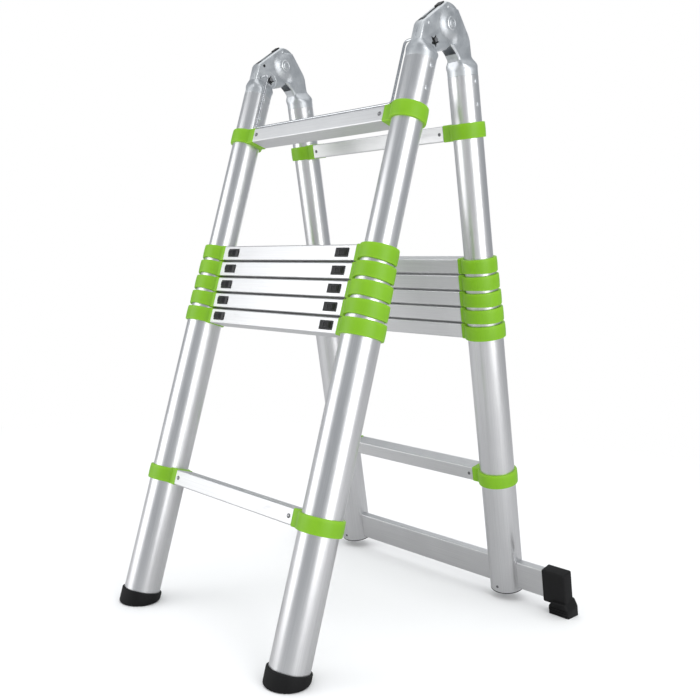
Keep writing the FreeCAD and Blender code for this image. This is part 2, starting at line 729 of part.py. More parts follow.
def tube_end_plugs():
    """Flanged plugs in the lower ends of the back tubes."""
    parts = []
    bore = BASE_RADIUS - TUBE_WALL
    for side in (-1, 1):
        low = V(side * STILE_X, STILE_Y, ground(STILE_Y) + BACK_TUBE_LIFT - END_PLUG_FLANGE)
        flange = Part.makeCylinder(BASE_RADIUS, END_PLUG_FLANGE, low)
        plug = Part.makeCylinder(bore, END_PLUG_FLANGE + END_PLUG_DEPTH, low)
        parts.append(flange.fuse(plug))
    return parts


# Assembly

def add(name, shapes, back=False):
    """Place shapes from a section frame into the world and keep them under a node's name."""
    placed = []
    for shape in shapes:
        shape = shape.removeSplitter()
        shape.rotate(V(0, 0, 0), ALONG, -LEAN)
        if back:
            shape.rotate(V(0, 0, 0), UP, 180)
        shape.translate(V(0, 0, PIVOT_HEIGHT))
        placed.append(shape)
    nodes[name] = placed


def add_section(name, base_pitch, base_bottom, slots, back):
    """All tubes, collars, rungs and buttons of one section."""
    base = stile_tubes(BASE_STAGE, base_pitch, base_bottom)
    if slots:
        base = [tube.cut(slots) for tube in base]
    add(f"{name}_base_tubes", base, back)
    collars = [collar(rung, side, base_pitch) for rung in (1, BASE_STAGE) for side in (-1, 1)]
    add(f"{name}_base_collars", collars, back)
    add(f"{name}_rung_1", rung_bar(1, base_pitch), back)
    add(f"{name}_rung_2", rung_bar(BASE_STAGE, base_pitch), back)
    for stage in SLIDING_STAGES:
        tubes = stile_tubes(stage, base_pitch, tube_bottom(stage, base_pitch))
        add(f"{name}_stage_{stage}_frame", tubes + rung_bar(stage, base_pitch), back)
        collars = [collar(stage, side, base_pitch) for side in (-1, 1)]
        add(f"{name}_stage_{stage}_collars", collars, back)
    top_tubes = stile_tubes(TOP_STAGE, base_pitch, tube_bottom(TOP_STAGE, base_pitch))
    for side in (-1, 1):
        for drop in TUBE_RIVET_DROPS:
            top_tubes[(side + 1) // 2] = top_tubes[(side + 1) // 2].cut(tube_rivet(side, drop))
    add(f"{name}_stage_7_tubes", top_tubes, back)
    collars = [collar(TOP_STAGE, side, base_pitch) for side in (-1, 1)]
    add(f"{name}_stage_7_collars", collars, back)
    add(f"{name}_rung_7", rung_bar(TOP_STAGE, base_pitch), back)
    for rung in range(BASE_STAGE, TOP_STAGE):
        for side in (-1, 1):
            label = "right" if (side > 0) != back else "left"
            add(f"{name}_rung_{rung}_button_{label}", [button(rung, side, base_pitch)], back)


def cut_at_ground(name):
    """Trim a node's soles flat on the ground."""
    span = 2 * PIVOT_HEIGHT
    earth = box((-span, span), (-span, span), (-span, 0))
    nodes[name] = [shape.cut(earth) for shape in nodes[name]]


def build():
    """Make every node."""
    front_bottom = ground(STILE_Y + BASE_RADIUS) + SOLE
    add_section("front", FRONT_BASE_PITCH, front_bottom, None, False)
    reach = STABILISER_LENGTH / 2
    slots = bar_section(0, (-reach, reach))
    add_section("back", BACK_BASE_PITCH, ground(STILE_Y) + BACK_TUBE_LIFT, slots, True)
    add("front_feet", boots())
    add("stabiliser_bar", [stabiliser_bar()], True)
    add("stabiliser_feet", stabiliser_feet(), True)
    add("back_tube_plugs", tube_end_plugs(), True)
    add("hinge_front_halves", front_hinge_parts())
    add("hinge_back_halves", back_hinge_parts(), True)
    add("hinge_pivot_pins", pivot_pins(), True)
    add("hinge_ratchets", ratchets(), True)
    add("hinge_lock_bolts", lock_bolts())
    add("lock_release_bail", [release_bail(FRONT_BASE_PITCH)])
    cut_at_ground("front_feet")
    cut_at_ground("stabiliser_feet")


def export():
    """Centre the footprint on the origin and write one file for each node."""
    os.makedirs("parts", exist_ok=True)
    everything = Part.makeCompound([shape for shapes in nodes.values() for shape in shapes])
    limits = everything.optimalBoundingBox(False)
    shift = -(limits.YMin + limits.YMax) / 2
    print(f"pivot at y = {shift:.4f}, z = {PIVOT_HEIGHT:.4f}")
    for name, shapes in nodes.items():
        for shape in shapes:
            shape.translate(V(0, shift, 0))
        whole = shapes[0] if len(shapes) == 1 else Part.makeCompound(shapes)
        whole.exportStep(f"parts/{name}.step")
    print(f"{len(nodes)} nodes")


build()
export()
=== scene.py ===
# Telescoping A-frame ladder: its looks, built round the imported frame.
# Sizes in the settings are millimetres in a section's own frame: the fold pivot is the origin, +Z runs up
# the stiles and -Y points out on the section's climbing side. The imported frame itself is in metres.
import math

import bmesh
import bpy
from mathutils import Matrix, Vector


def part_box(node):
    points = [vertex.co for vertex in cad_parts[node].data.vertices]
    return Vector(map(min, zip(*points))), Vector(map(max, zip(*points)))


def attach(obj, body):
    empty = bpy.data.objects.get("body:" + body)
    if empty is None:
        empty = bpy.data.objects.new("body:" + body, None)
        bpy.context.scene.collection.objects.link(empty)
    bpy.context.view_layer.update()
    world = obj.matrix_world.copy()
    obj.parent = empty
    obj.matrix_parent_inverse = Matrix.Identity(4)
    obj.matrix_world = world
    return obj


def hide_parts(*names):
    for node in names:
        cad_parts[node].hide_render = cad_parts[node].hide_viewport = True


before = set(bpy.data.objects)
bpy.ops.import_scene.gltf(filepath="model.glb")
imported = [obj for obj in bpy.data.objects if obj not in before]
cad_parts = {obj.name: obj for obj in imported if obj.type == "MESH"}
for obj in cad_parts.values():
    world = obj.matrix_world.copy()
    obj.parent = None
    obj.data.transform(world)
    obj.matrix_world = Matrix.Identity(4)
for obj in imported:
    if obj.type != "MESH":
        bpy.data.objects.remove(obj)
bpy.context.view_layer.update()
print("frame loaded:", len(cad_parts), "nodes")

ladder = {
    "lean": 13.6, "stileX": 232.5, "stileY": -42.0,
    "baseRadius": 36.0, "tubeStep": 1.4, "tubeWall": 1.1,
    "rungHeight": 30.0, "rungDepth": 38.0, "topRungDrop": 207.0, "openPitch": 260.0, "closedPitch": 33.5,
    "basePitch": {"front": 338.0, "back": 318.0},
    "ringWall": 5.5, "ringHeight": 29.0, "stackReach": 3.5, "fixedReach": 11.0,
    "slideClearance": 0.3,
}
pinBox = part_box("hinge_pivot_pins")
pivot = (pinBox[0] + pinBox[1]) / 2
leanAngle = math.radians(ladder["lean"])
turnOf = {"front": leanAngle, "back": -leanAngle}
sections = ("front", "back")
metre = 1000  # in millimetres


# Places on the ladder

def sectionMatrix(section):
    turn = Matrix.Rotation(math.pi if section == "back" else 0, 4, "Z")
    lean = Matrix.Rotation(-leanAngle, 4, "X")
    return Matrix.Translation(pivot) @ turn @ lean @ Matrix.Scale(1 / metre, 4)


def stileMatrix(section, side):
    # X runs outward from the centre line of a stile
    place = Matrix.Translation((side * ladder["stileX"], 0, 0)) @ Matrix.Diagonal((side, 1, 1, 1))
    return sectionMatrix(section) @ place


def tubeRadius(stage):
    return ladder["baseRadius"] - (stage - 2) * ladder["tubeStep"]


def rungMiddle(section, rung):
    half = ladder["rungHeight"] / 2
    if rung == 7:
        return half - ladder["topRungDrop"]
    bundle = half - ladder["topRungDrop"] - ladder["openPitch"]
    if rung == 1:
        return bundle - 4 * ladder["closedPitch"] - ladder["basePitch"][section]
    return bundle - (6 - rung) * ladder["closedPitch"]


def rungEnd(rung):
    reach = ladder["fixedReach"] if rung in (1, 7) else ladder["stackReach"]
    return ladder["stileX"] - tubeRadius(max(rung, 2)) - ladder["ringWall"] - reach


def groundHeight(y):
    # height of the ground, in the section frame, under a place at y
    return (y * math.sin(leanAngle) - pivot.z * metre) / math.cos(leanAngle)


def bodyOf(section, stage):
    return section + ("_base" if stage <= 2 else f"_stage_{stage}")


# Mesh building

def roundEdges(shape, edges, width, segments=3, clamp=False):
    bmesh.ops.bevel(
        shape, geom=edges, offset=width, segments=segments, profile=0.5, affect="EDGES", clamp_overlap=clamp)


def between(middle, half):
    # the two ends of a span
    return middle - half, middle + half


def finishMesh(mesh, sharpAngle=38):
    mesh.polygons.foreach_set("use_smooth", [True] * len(mesh.polygons))
    mesh.set_sharp_from_angle(angle=math.radians(sharpAngle))
    mesh.update()
    return mesh


def joinShapes(name, shapes, sharpAngle=38):
    # shapes are (bmesh, matrix) pairs; a mirrored one is turned right side out
    whole = bmesh.new()
    for shape, matrix in shapes:
        part = shape.copy()
        bmesh.ops.transform(part, matrix=matrix, verts=part.verts)
        if matrix.determinant() < 0:
            bmesh.ops.reverse_faces(part, faces=part.faces)
        spare = bpy.data.meshes.new("spare")
        part.to_mesh(spare)
        part.free()
        whole.from_mesh(spare)
        bpy.data.meshes.remove(spare)
    mesh = bpy.data.meshes.new(name)
    whole.to_mesh(mesh)
    whole.free()
    return finishMesh(mesh, sharpAngle)


def newObject(name, data):
    thing = bpy.data.objects.new(name, data)
    bpy.context.scene.collection.objects.link(thing)
    return thing


def addPiece(name, mesh, body, material, slotName, *nodes):
    piece = newObject(name, mesh)
    mesh.materials.append(material)
    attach(piece, body)
    if nodes:
        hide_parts(*nodes)
    return piece


def roundedBlock(x, y, z, radius, segments=3):
    # a block between two values on each axis, with its edges rounded
    shape = bmesh.new()
    size = (abs(x[1] - x[0]), abs(y[1] - y[0]), abs(z[1] - z[0]))
    centre = (sum(x) / 2, sum(y) / 2, sum(z) / 2)
    matrix = Matrix.Translation(centre) @ Matrix.Diagonal((*size, 1))
    bmesh.ops.create_cube(shape, size=1, matrix=matrix)
    if radius:
        roundEdges(shape, list(shape.edges), radius, segments)
    return shape


def prism(outline, x, bevel=0.0, segments=3):
    # a plate square to X from an outline in Y and Z, with the edges of its two faces rounded
    shape = bmesh.new()
    low = [shape.verts.new((x[0], py, pz)) for py, pz in outline]
    high = [shape.verts.new((x[1], py, pz)) for py, pz in outline]
    caps = [shape.faces.new(low), shape.faces.new(list(reversed(high)))]
    count = len(outline)
    for i in range(count):
        j = (i + 1) % count
        shape.faces.new((low[j], low[i], high[i], high[j]))
    bmesh.ops.recalc_face_normals(shape, faces=shape.faces)
    if bevel:
        rims = list({edge for cap in caps for edge in cap.edges})
        roundEdges(shape, rims, bevel, segments, True)
    return shape


def roundOff(points, radius, steps=5):
    # an outline with its corners rounded
    rounded = []
    count = len(points)
    for i in range(count):
        before, here, after = (Vector(points[(i + k) % count]) for k in (-1, 0, 1))
        a, b = (before - here), (after - here)
        reach = min(radius, a.length * 0.45, b.length * 0.45)
        start, end = here + a.normalized() * reach, here + b.normalized() * reach
        for step in range(steps + 1):
            t = step / steps
            rounded.append(tuple(start * (1 - t) ** 2 + here * 2 * t * (1 - t) + end * t ** 2))
    return rounded


def arc(radius, fromDegrees, toDegrees, steps):
    points = []
    for i in range(steps + 1):
        a = math.radians(fromDegrees + (toDegrees - fromDegrees) * i / steps)
        points.append((radius * math.cos(a), radius * math.sin(a)))
    return points


def bridge(shape, rings, closed=True):
    # four-sided faces between each row of corners and the next
    for one, two in zip(rings, rings[1:]):
        rows = len(one)
        for k in range(rows if closed else rows - 1):
            m = (k + 1) % rows
            shape.faces.new((one[k], two[k], two[m], one[m]))


def capAndTurnOut(shape, rings):
    shape.faces.new(rings[0])
    shape.faces.new(list(reversed(rings[-1])))
    bmesh.ops.recalc_face_normals(shape, faces=shape.faces)
    return shape


def standOn(shape, base, outward):
    # turns +Z to the outward direction and moves the shape to its base
    turn = Vector((0, 0, 1)).rotation_difference(Vector(outward)).to_matrix().to_4x4()
    bmesh.ops.transform(shape, matrix=Matrix.Translation(base) @ turn, verts=shape.verts)
    return shape


def lathe(profile, count=72, centre=(0, 0), closed=False):
    # profile(angle) gives (radius, height) points: a ring if closed, else a solid from axis to axis
    shape = bmesh.new()
    columns = []
    for i in range(count):
        a = 2 * math.pi * i / count
        across, along = math.cos(a), math.sin(a)
        columns.append([
            shape.verts.new((centre[0] + r * across, centre[1] + r * along, z)) for r, z in profile(a)
        ])
    bridge(shape, [*columns, columns[0]], closed)
    if not closed:
        bmesh.ops.contextual_create(shape, geom=[c[0] for c in columns])
        bmesh.ops.contextual_create(shape, geom=[c[-1] for c in columns])
        caps = [f for f in shape.faces if len(f.verts) > 4]
        bmesh.ops.triangulate(shape, faces=caps)
    bmesh.ops.recalc_face_normals(shape, faces=shape.faces)
    return shape


def rod(start, end, radius, count=24, bevel=0.0):
    # a round bar between two points, its ends chamfered
    start, end = Vector(start), Vector(end)
    length = (end - start).length
    lip = min(bevel, radius * 0.9)
    points = [(radius - lip, 0), (radius, lip), (radius, length - lip), (radius - lip, length)]
    return standOn(lathe(lambda a: points, count), start, end - start)


def domeHead(base, outward, radius, height, dimple=0.3, count=28):
    # the head of a blind rivet: a low dome with a sunken centre where its mandrel broke off
    profile = [
        (radius * 0.96, -0.4), (radius, 0), (radius * 0.94, height * 0.45), (radius * 0.72, height * 0.84),
        (radius * 0.45, height), (radius * 0.32, height * 0.98), (radius * 0.26, height * (1 - dimple)),
        (radius * 0.1, height * (1 - dimple)),
    ]
    return standOn(lathe(lambda a: profile, count), base, outward)


def combine(first, others, operation):
    # boolean of one shape with several others
    made = []
    for shape in [first, *others]:
        mesh = bpy.data.meshes.new("cut")
        shape.to_mesh(mesh)
        made.append(newObject("cut", mesh))
    for cutter in made[1:]:
        step = made[0].modifiers.new("cut", "BOOLEAN")
        step.operation = operation
        step.solver = "EXACT"
        step.object = cutter
    bpy.context.view_layer.update()
    result = bmesh.new()
    evaluated = made[0].evaluated_get(bpy.context.evaluated_depsgraph_get())
    result.from_mesh(evaluated.to_mesh())
    evaluated.to_mesh_clear()
    for piece in made:
        mesh = piece.data
        bpy.data.objects.remove(piece)
        bpy.data.meshes.remove(mesh)
    return result


# Finishes

def newMaterial(name):
    material = bpy.data.materials.new(name)
    material.use_nodes = True
    tree = material.node_tree
    shader = next(n for n in tree.nodes if n.type == "BSDF_PRINCIPLED")
    return material, tree, shader


def link(tree, source, target):
    tree.links.new(source, target)


def noiseNode(tree, vector, scale, detail=3.0, rough=0.5, distortion=0.0):
    node = tree.nodes.new("ShaderNodeTexNoise")
    node.inputs["Scale"].default_value = scale
    node.inputs["Detail"].default_value = detail
    node.inputs["Roughness"].default_value = rough
    node.inputs["Distortion"].default_value = distortion
    link(tree, vector, node.inputs["Vector"])
    return node.outputs["Fac"]


def mappedCoordinates(tree, scale=(1, 1, 1), turnX=0.0):
    coordinates = tree.nodes.new("ShaderNodeTexCoord")
    turned = tree.nodes.new("ShaderNodeMapping")
    turned.vector_type = "POINT"
    turned.inputs["Rotation"].default_value = (turnX, 0, 0)
    link(tree, coordinates.outputs["Object"], turned.inputs["Vector"])
    stretched = tree.nodes.new("ShaderNodeMapping")
    stretched.inputs["Scale"].default_value = scale
    link(tree, turned.outputs["Vector"], stretched.inputs["Vector"])
    return stretched.outputs["Vector"]


def rampBetween(tree, factor, low, high, start=0.3, end=0.7):
    ramp = tree.nodes.new("ShaderNodeValToRGB")
    ramp.color_ramp.elements[0].position = start
    ramp.color_ramp.elements[1].position = end
    ramp.color_ramp.elements[0].color = (*low, 1)
    ramp.color_ramp.elements[1].color = (*high, 1)
    link(tree, factor, ramp.inputs["Fac"])
    return ramp.outputs["Color"]


def mapTo(tree, factor, low, high, start=0.3, end=0.7):
    node = tree.nodes.new("ShaderNodeMapRange")
    node.inputs["From Min"].default_value = start
    node.inputs["From Max"].default_value = end
    node.inputs["To Min"].default_value = low
    node.inputs["To Max"].default_value = high
    link(tree, factor, node.inputs["Value"])
    return node.outputs["Result"]


def mixColours(tree, factor, first, second, mode="MIX"):
    node = tree.nodes.new("ShaderNodeMix")
    node.data_type = "RGBA"
    node.blend_type = mode
    sockets = [s for s in node.inputs if s.type == "RGBA"]
    for value, socket in ((first, sockets[0]), (second, sockets[1])):
        if isinstance(value, bpy.types.NodeSocket):
            link(tree, value, socket)
        else:
            socket.default_value = (*value, 1)
    if isinstance(factor, bpy.types.NodeSocket):
        link(tree, factor, node.inputs["Factor"])
    else:
        node.inputs["Factor"].default_value = factor
    return [s for s in node.outputs if s.type == "RGBA"][0]


def bumpFrom(tree, height, strength, distance, under=None):
    node = tree.nodes.new("ShaderNodeBump")
    node.inputs["Strength"].default_value = strength
    node.inputs["Distance"].default_value = distance
    link(tree, height, node.inputs["Height"])
    if under is not None:
        link(tree, under, node.inputs["Normal"])
    return node.outputs["Normal"]


def mixShaders(tree, factor, first, second):
    node = tree.nodes.new("ShaderNodeMixShader")
    for source, socket in zip((factor, first, second), node.inputs):
        link(tree, source, socket)
    return node.outputs["Shader"]


def rayKind(tree, kind):
    return tree.nodes.new("ShaderNodeLightPath").outputs[kind]


def edgeWear(tree, low=0.5, high=0.56):
    geometry = tree.nodes.new("ShaderNodeNewGeometry")
    return mapTo(tree, geometry.outputs["Pointiness"], 0, 1, low, high)


def aluminium(name, settings, turnX):
    # satin extrusion: fine die lines along the bar, soft cloudy patches and a few scuffs
    material, tree, shader = newMaterial(name)
    lines = noiseNode(tree, mappedCoordinates(tree, settings["grain"], turnX), 1.0, 4, 0.65)
    cloud = noiseNode(tree, mappedCoordinates(tree, (1, 1, 1), turnX), settings["cloudScale"], 2, 0.5)
    scuffSpace = mappedCoordinates(tree, settings["scuffStretch"], turnX)
    scuffs = noiseNode(tree, scuffSpace, 1.0, 6, 0.7, 0.4)
    base = rampBetween(tree, lines, settings["dark"], settings["light"])
    patches = rampBetween(tree, cloud, settings["patchDark"], (1, 1, 1))
    colour = mixColours(tree, 1.0, base, patches, "MULTIPLY")
    link(tree, colour, shader.inputs["Base Color"])
    rough = mapTo(tree, lines, settings["roughLow"], settings["roughHigh"])
    scuffed = tree.nodes.new("ShaderNodeMath")
    scuffed.operation = "ADD"
    link(tree, rough, scuffed.inputs[0])
    link(tree, mapTo(tree, scuffs, 0, settings["scuffRough"], 0.56, 0.7), scuffed.inputs[1])
    link(tree, scuffed.outputs["Value"], shader.inputs["Roughness"])
    link(tree, bumpFrom(tree, lines, settings["bump"], 0.0002), shader.inputs["Normal"])
    shader.inputs["Metallic"].default_value = 1.0
    return material


def mouldedPlastic(name, settings):
    # injection moulding: faint flow marks, a fine spark-eroded grain and rubbed edges
    material, tree, shader = newMaterial(name)
    flow = noiseNode(tree, mappedCoordinates(tree, (1, 1, 0.4)), settings["flowScale"], 3, 0.5, 0.6)
    grain = noiseNode(tree, mappedCoordinates(tree), settings["grainScale"], 2, 0.6)
    base = rampBetween(tree, flow, settings["dark"], settings["light"])
    colour = mixColours(tree, edgeWear(tree), base, settings["worn"])
    link(tree, colour, shader.inputs["Base Color"])
    rough = mapTo(tree, flow, settings["roughLow"], settings["roughHigh"])
    link(tree, rough, shader.inputs["Roughness"])
    link(tree, bumpFrom(tree, grain, settings["bump"], 0.0002), shader.inputs["Normal"])
    shader.inputs["Specular IOR Level"].default_value = settings["specular"]
    return material


def zincPlate(name, settings):
    # pressed sheet with a zinc coat: crystal spangle, cloudy patches and draw marks
    material, tree, shader = newMaterial(name)
    spangle = tree.nodes.new("ShaderNodeTexVoronoi")
    spangle.inputs["Scale"].default_value = settings["spangleScale"]
    link(tree, mappedCoordinates(tree), spangle.inputs["Vector"])
    flake = tree.nodes.new("ShaderNodeSeparateColor")
    link(tree, spangle.outputs["Color"], flake.inputs["Color"])
    cloud = noiseNode(tree, mappedCoordinates(tree), settings["cloudScale"], 5, 0.6, 0.3)
    fine = noiseNode(tree, mappedCoordinates(tree), settings["fineScale"], 3, 0.6)
    base = rampBetween(tree, cloud, settings["dark"], settings["light"])
    facets = rampBetween(tree, flake.outputs["Red"], settings["facetDark"], (1, 1, 1), 0, 1)
    colour = mixColours(tree, 1.0, base, facets, "MULTIPLY")
    worn = mixColours(tree, edgeWear(tree, 0.51, 0.6), colour, settings["worn"])
    link(tree, worn, shader.inputs["Base Color"])
    rough = mapTo(tree, cloud, settings["roughLow"], settings["roughHigh"])
    link(tree, rough, shader.inputs["Roughness"])
    grain = bumpFrom(tree, fine, settings["fineBump"], 0.0003)
    dents = bumpFrom(tree, cloud, settings["cloudBump"], 0.002, grain)
    link(tree, dents, shader.inputs["Normal"])
    shader.inputs["Metallic"].default_value = 1.0
    return material


tubeFinish = {
    "grain": (900, 900, 5), "cloudScale": 7.0, "scuffStretch": (60, 60, 12),
    "dark": (0.74, 0.74, 0.745), "light": (0.85, 0.85, 0.855), "patchDark": (0.95, 0.95, 0.955),
    "roughLow": 0.29, "roughHigh": 0.37, "scuffRough": 0.1, "bump": 0.1,
}
rungFinish = {
    "grain": (6, 1300, 1300), "cloudScale": 9.0, "scuffStretch": (14, 80, 80),
    "dark": (0.7, 0.7, 0.705), "light": (0.81, 0.81, 0.815), "patchDark": (0.95, 0.95, 0.95),
    "roughLow": 0.38, "roughHigh": 0.47, "scuffRough": 0.1, "bump": 0.1,
}
collarFinish = {
    "flowScale": 22.0, "grainScale": 1500.0, "dark": (0.14, 0.34, 0.0005), "light": (0.17, 0.395, 0.001),
    "worn": (0.21, 0.45, 0.01), "roughLow": 0.42, "roughHigh": 0.52, "bump": 0.12, "specular": 0.4,
}
buttonFinish = {
    "flowScale": 60.0, "grainScale": 2500.0, "dark": (0.006, 0.006, 0.0065), "light": (0.011, 0.011, 0.012),
    "worn": (0.022, 0.022, 0.023), "roughLow": 0.32, "roughHigh": 0.42, "bump": 0.15, "specular": 0.28,
}
rubberFinish = {
    "flowScale": 30.0, "grainScale": 1200.0, "dark": (0.004, 0.004, 0.0042), "light": (0.007, 0.007, 0.0073),
    "worn": (0.013, 0.013, 0.0135), "roughLow": 0.5, "roughHigh": 0.64, "bump": 0.25, "specular": 0.14,
}
zincFinish = {
    "spangleScale": 260.0, "cloudScale": 38.0, "fineScale": 900.0,
    "dark": (0.62, 0.64, 0.66), "light": (0.76, 0.78, 0.8), "worn": (0.82, 0.84, 0.85),
    "facetDark": (0.93, 0.935, 0.94),
    "roughLow": 0.36, "roughHigh": 0.5, "fineBump": 0.12, "cloudBump": 0.05,
}
darkSteelFinish = dict(
    zincFinish, dark=(0.10, 0.10, 0.105), light=(0.18, 0.18, 0.185), worn=(0.35, 0.35, 0.36))
wireFinish = dict(zincFinish, dark=(0.55, 0.56, 0.58), light=(0.72, 0.73, 0.75), roughLow=0.2, roughHigh=0.3)

satinTube, brushedRung = ({
    section: aluminium(f"{kind} {section}", finish, turnOf[section]) for section in sections
} for kind, finish in (("satin tube", tubeFinish), ("brushed rung", rungFinish)))
limeCollar = mouldedPlastic("lime collar plastic", collarFinish)
blackButton = mouldedPlastic("black button plastic", buttonFinish)
blackRubber = mouldedPlastic("black rubber", rubberFinish)
zincPressing = zincPlate("zinc pressing", zincFinish)
oiledSteel = zincPlate("oiled dark steel", darkSteelFinish)
drawnWire = zincPlate("drawn bright wire", wireFinish)


def stageFrameMaterial(section):
    # tubes and rung of one stage share a node: the grain runs up the tubes and along the rung
    material, tree, shader = newMaterial(f"stage frame {section}")
    turn = turnOf[section]
    coordinates = tree.nodes.new("ShaderNodeTexCoord")
    split = tree.nodes.new("ShaderNodeSeparateXYZ")
    link(tree, coordinates.outputs["Object"], split.inputs["Vector"])
    spread = tree.nodes.new("ShaderNodeMath")
    spread.operation = "ABSOLUTE"
    link(tree, split.outputs["X"], spread.inputs[0])
    edge = rungEnd(4) / metre
    onTube = mapTo(tree, spread.outputs["Value"], 0, 1, edge, edge + 0.002)
    up = noiseNode(tree, mappedCoordinates(tree, tubeFinish["grain"], turn), 1.0, 4, 0.65)
    along = noiseNode(tree, mappedCoordinates(tree, rungFinish["grain"], turn), 1.0, 4, 0.65)
    cloud = noiseNode(tree, mappedCoordinates(tree), 8.0, 2, 0.5)
    tubeColour = rampBetween(tree, up, tubeFinish["dark"], tubeFinish["light"])
    rungColour = rampBetween(tree, along, rungFinish["dark"], rungFinish["light"])
    base = mixColours(tree, onTube, rungColour, tubeColour)
    patches = rampBetween(tree, cloud, rungFinish["patchDark"], (1, 1, 1))
    link(tree, mixColours(tree, 1.0, base, patches, "MULTIPLY"), shader.inputs["Base Color"])
    heights = tree.nodes.new("ShaderNodeMix")
    link(tree, onTube, heights.inputs["Factor"])
    link(tree, along, heights.inputs[2])
    link(tree, up, heights.inputs[3])
    smoother = 0.03  # the tubes are a little smoother than the rungs, and share this material
    rough = mapTo(
        tree, heights.outputs[0], rungFinish["roughLow"] - smoother, rungFinish["roughHigh"] - smoother)
    link(tree, rough, shader.inputs["Roughness"])
    link(tree, bumpFrom(tree, heights.outputs[0], rungFinish["bump"], 0.0002), shader.inputs["Normal"])
    shader.inputs["Metallic"].default_value = 1.0
    return material


stageFrame = {section: stageFrameMaterial(section) for section in sections}


def dress(node, material):
    # a carried-over CAD node takes a better finish
    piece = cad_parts[node]
    for slot in piece.material_slots:
        slot.material = material


for section in sections:
    for node in ("base_tubes", "stage_7_tubes"):
        dress(f"{section}_{node}", satinTube[section])
    for node in ("rung_1", "rung_2", "rung_7"):
        dress(f"{section}_{node}", brushedRung[section])
    for stage in range(3, 7):
        dress(f"{section}_stage_{stage}_frame", stageFrame[section])
dress("stabiliser_bar", brushedRung["back"])
dress("back_tube_plugs", blackRubber)
dress("hinge_ratchets", oiledSteel)
dress("hinge_lock_bolts", oiledSteel)
dress("lock_release_bail", drawnWire)
print("finishes ready")


# Collars

collarLook = {
    "crown": 0.5, "edgeRound": 1.4, "lip": 2.0,
    "scallop": 2.2, "scallopSpan": 70.0, "scallopCentre": 84.0, "scallopedRungs": range(3, 7),
    "bossMargin": 1.0, "bossRound": 2.4, "tenonLength": 12.0, "rungWall": 1.9, "pinHole": 4.3, "sides": 96,
}


def collarShape(rung):
    c = collarLook
    stage = max(rung, 2)
    bore = tubeRadius(stage)
    outer = bore + ladder["ringWall"]
    half = ladder["ringHeight"] / 2
    stacked = rung not in (1, 7)
    mouth = bore - ladder["tubeWall"] if stacked else bore

    def profile(a):
        # the lower edge arches up a little on the front and the back of the ring
        bearing = abs(math.degrees((a + math.pi) % (2 * math.pi) - math.pi))
        away = min(abs(bearing - c["scallopCentre"]), c["scallopSpan"])
        wave = 0.5 * (1 + math.cos(math.pi * away / c["scallopSpan"]))
        rise = c["scallop"] * wave if rung in c["scallopedRungs"] else 0
        low, high, e, w = -half + rise, half, c["edgeRound"], c["crown"]
        middle = (low + high) / 2
        ring = [
            (bore, low), (outer - w - e, low), (outer - w - 0.3 * e, low + 0.3 * e), (outer - w, low + e),
            (outer - w + 0.15, low + e + 1.0), (outer - 0.4 * w, low * 0.55 + middle * 0.45), (outer, middle),
            (outer - 0.4 * w, high * 0.55 + middle * 0.45), (outer - w, high - e),
            (outer - w - 0.3 * e, high - 0.3 * e), (outer - w - e, high),
        ]
        top = [(mouth, high)]
        if stacked:
            top += [(mouth, high - c["lip"]), (bore, high - c["lip"])]
        return ring + top

    ring = lathe(profile, c["sides"], (0, ladder["stileY"]), closed=True)
    reach = ladder["stackReach"] if stacked else ladder["fixedReach"]
    depth = ladder["rungDepth"] / 2 + c["bossMargin"]
    height = ladder["rungHeight"] / 2 + c["bossMargin"]
    y = ladder["stileY"]
    boss = roundedBlock((-(outer + reach), 0), between(y, depth), (-height, height), c["bossRound"], 4)
    tenonDepth = ladder["rungDepth"] / 2 - c["rungWall"]
    tenonHeight = ladder["rungHeight"] / 2 - c["rungWall"]
    tip = -(outer + reach + c["tenonLength"])
    tenon = roundedBlock((tip, -bore - 1), between(y, tenonDepth), (-tenonHeight, tenonHeight), 0.8, 2)
    cutters = [rod((0, y, -2 * height), (0, y, 2 * height), bore, c["sides"])]
    if stacked:
        hole = rod((-bore + 4, y, 0), (tip - 1, y, 0), c["pinHole"], 20)
        cutters.append(hole)
        ring = combine(ring, [hole], "DIFFERENCE")
    boss = combine(boss, [tenon], "UNION")
    boss = combine(boss, cutters, "DIFFERENCE")
    return combine(ring, [boss], "UNION")


collarShapes = {rung: collarShape(rung) for rung in range(1, 8)}


def collarPair(section, rungs):
    shapes = []
    for rung in rungs:
        for side in (-1, 1):
            rise = Matrix.Translation((0, 0, rungMiddle(section, rung)))
            shapes.append((collarShapes[rung], stileMatrix(section, side) @ rise))
    return shapes


for section in sections:
    for stage in range(2, 8):
        rungs = (1, 2) if stage == 2 else (stage,)
        label = "base" if stage == 2 else f"stage_{stage}"
        mesh = joinShapes(f"{section}_{label}_moulded_collars", collarPair(section, rungs), 32)
        node = f"{section}_{label}_collars"
        addPiece(mesh.name, mesh, bodyOf(section, stage), limeCollar, "green_collar", node)
print("collars ready")


# Thumb buttons

buttonLook = {
    "fromStile": 72.5, "length": 33.0, "height": 17.0, "proud": 5.5, "bezel": 1.6,
    "thumbLength": 22.0, "thumbHeight": 12.6, "thumbShift": 2.5, "ribs": 4, "ribHeight": 0.8,
    "topInset": 5.72, "farInset": 1.56, "sideInset": 1.82, "ribInset": 1.5, "ribHalfWidth": 0.7,
    "stemLength": 14.0, "slotHeight": 8.0, "wall": 1.8,
    "carrierHeight": 18.0, "carrierInset": 2.0, "pin": 4.0,
}


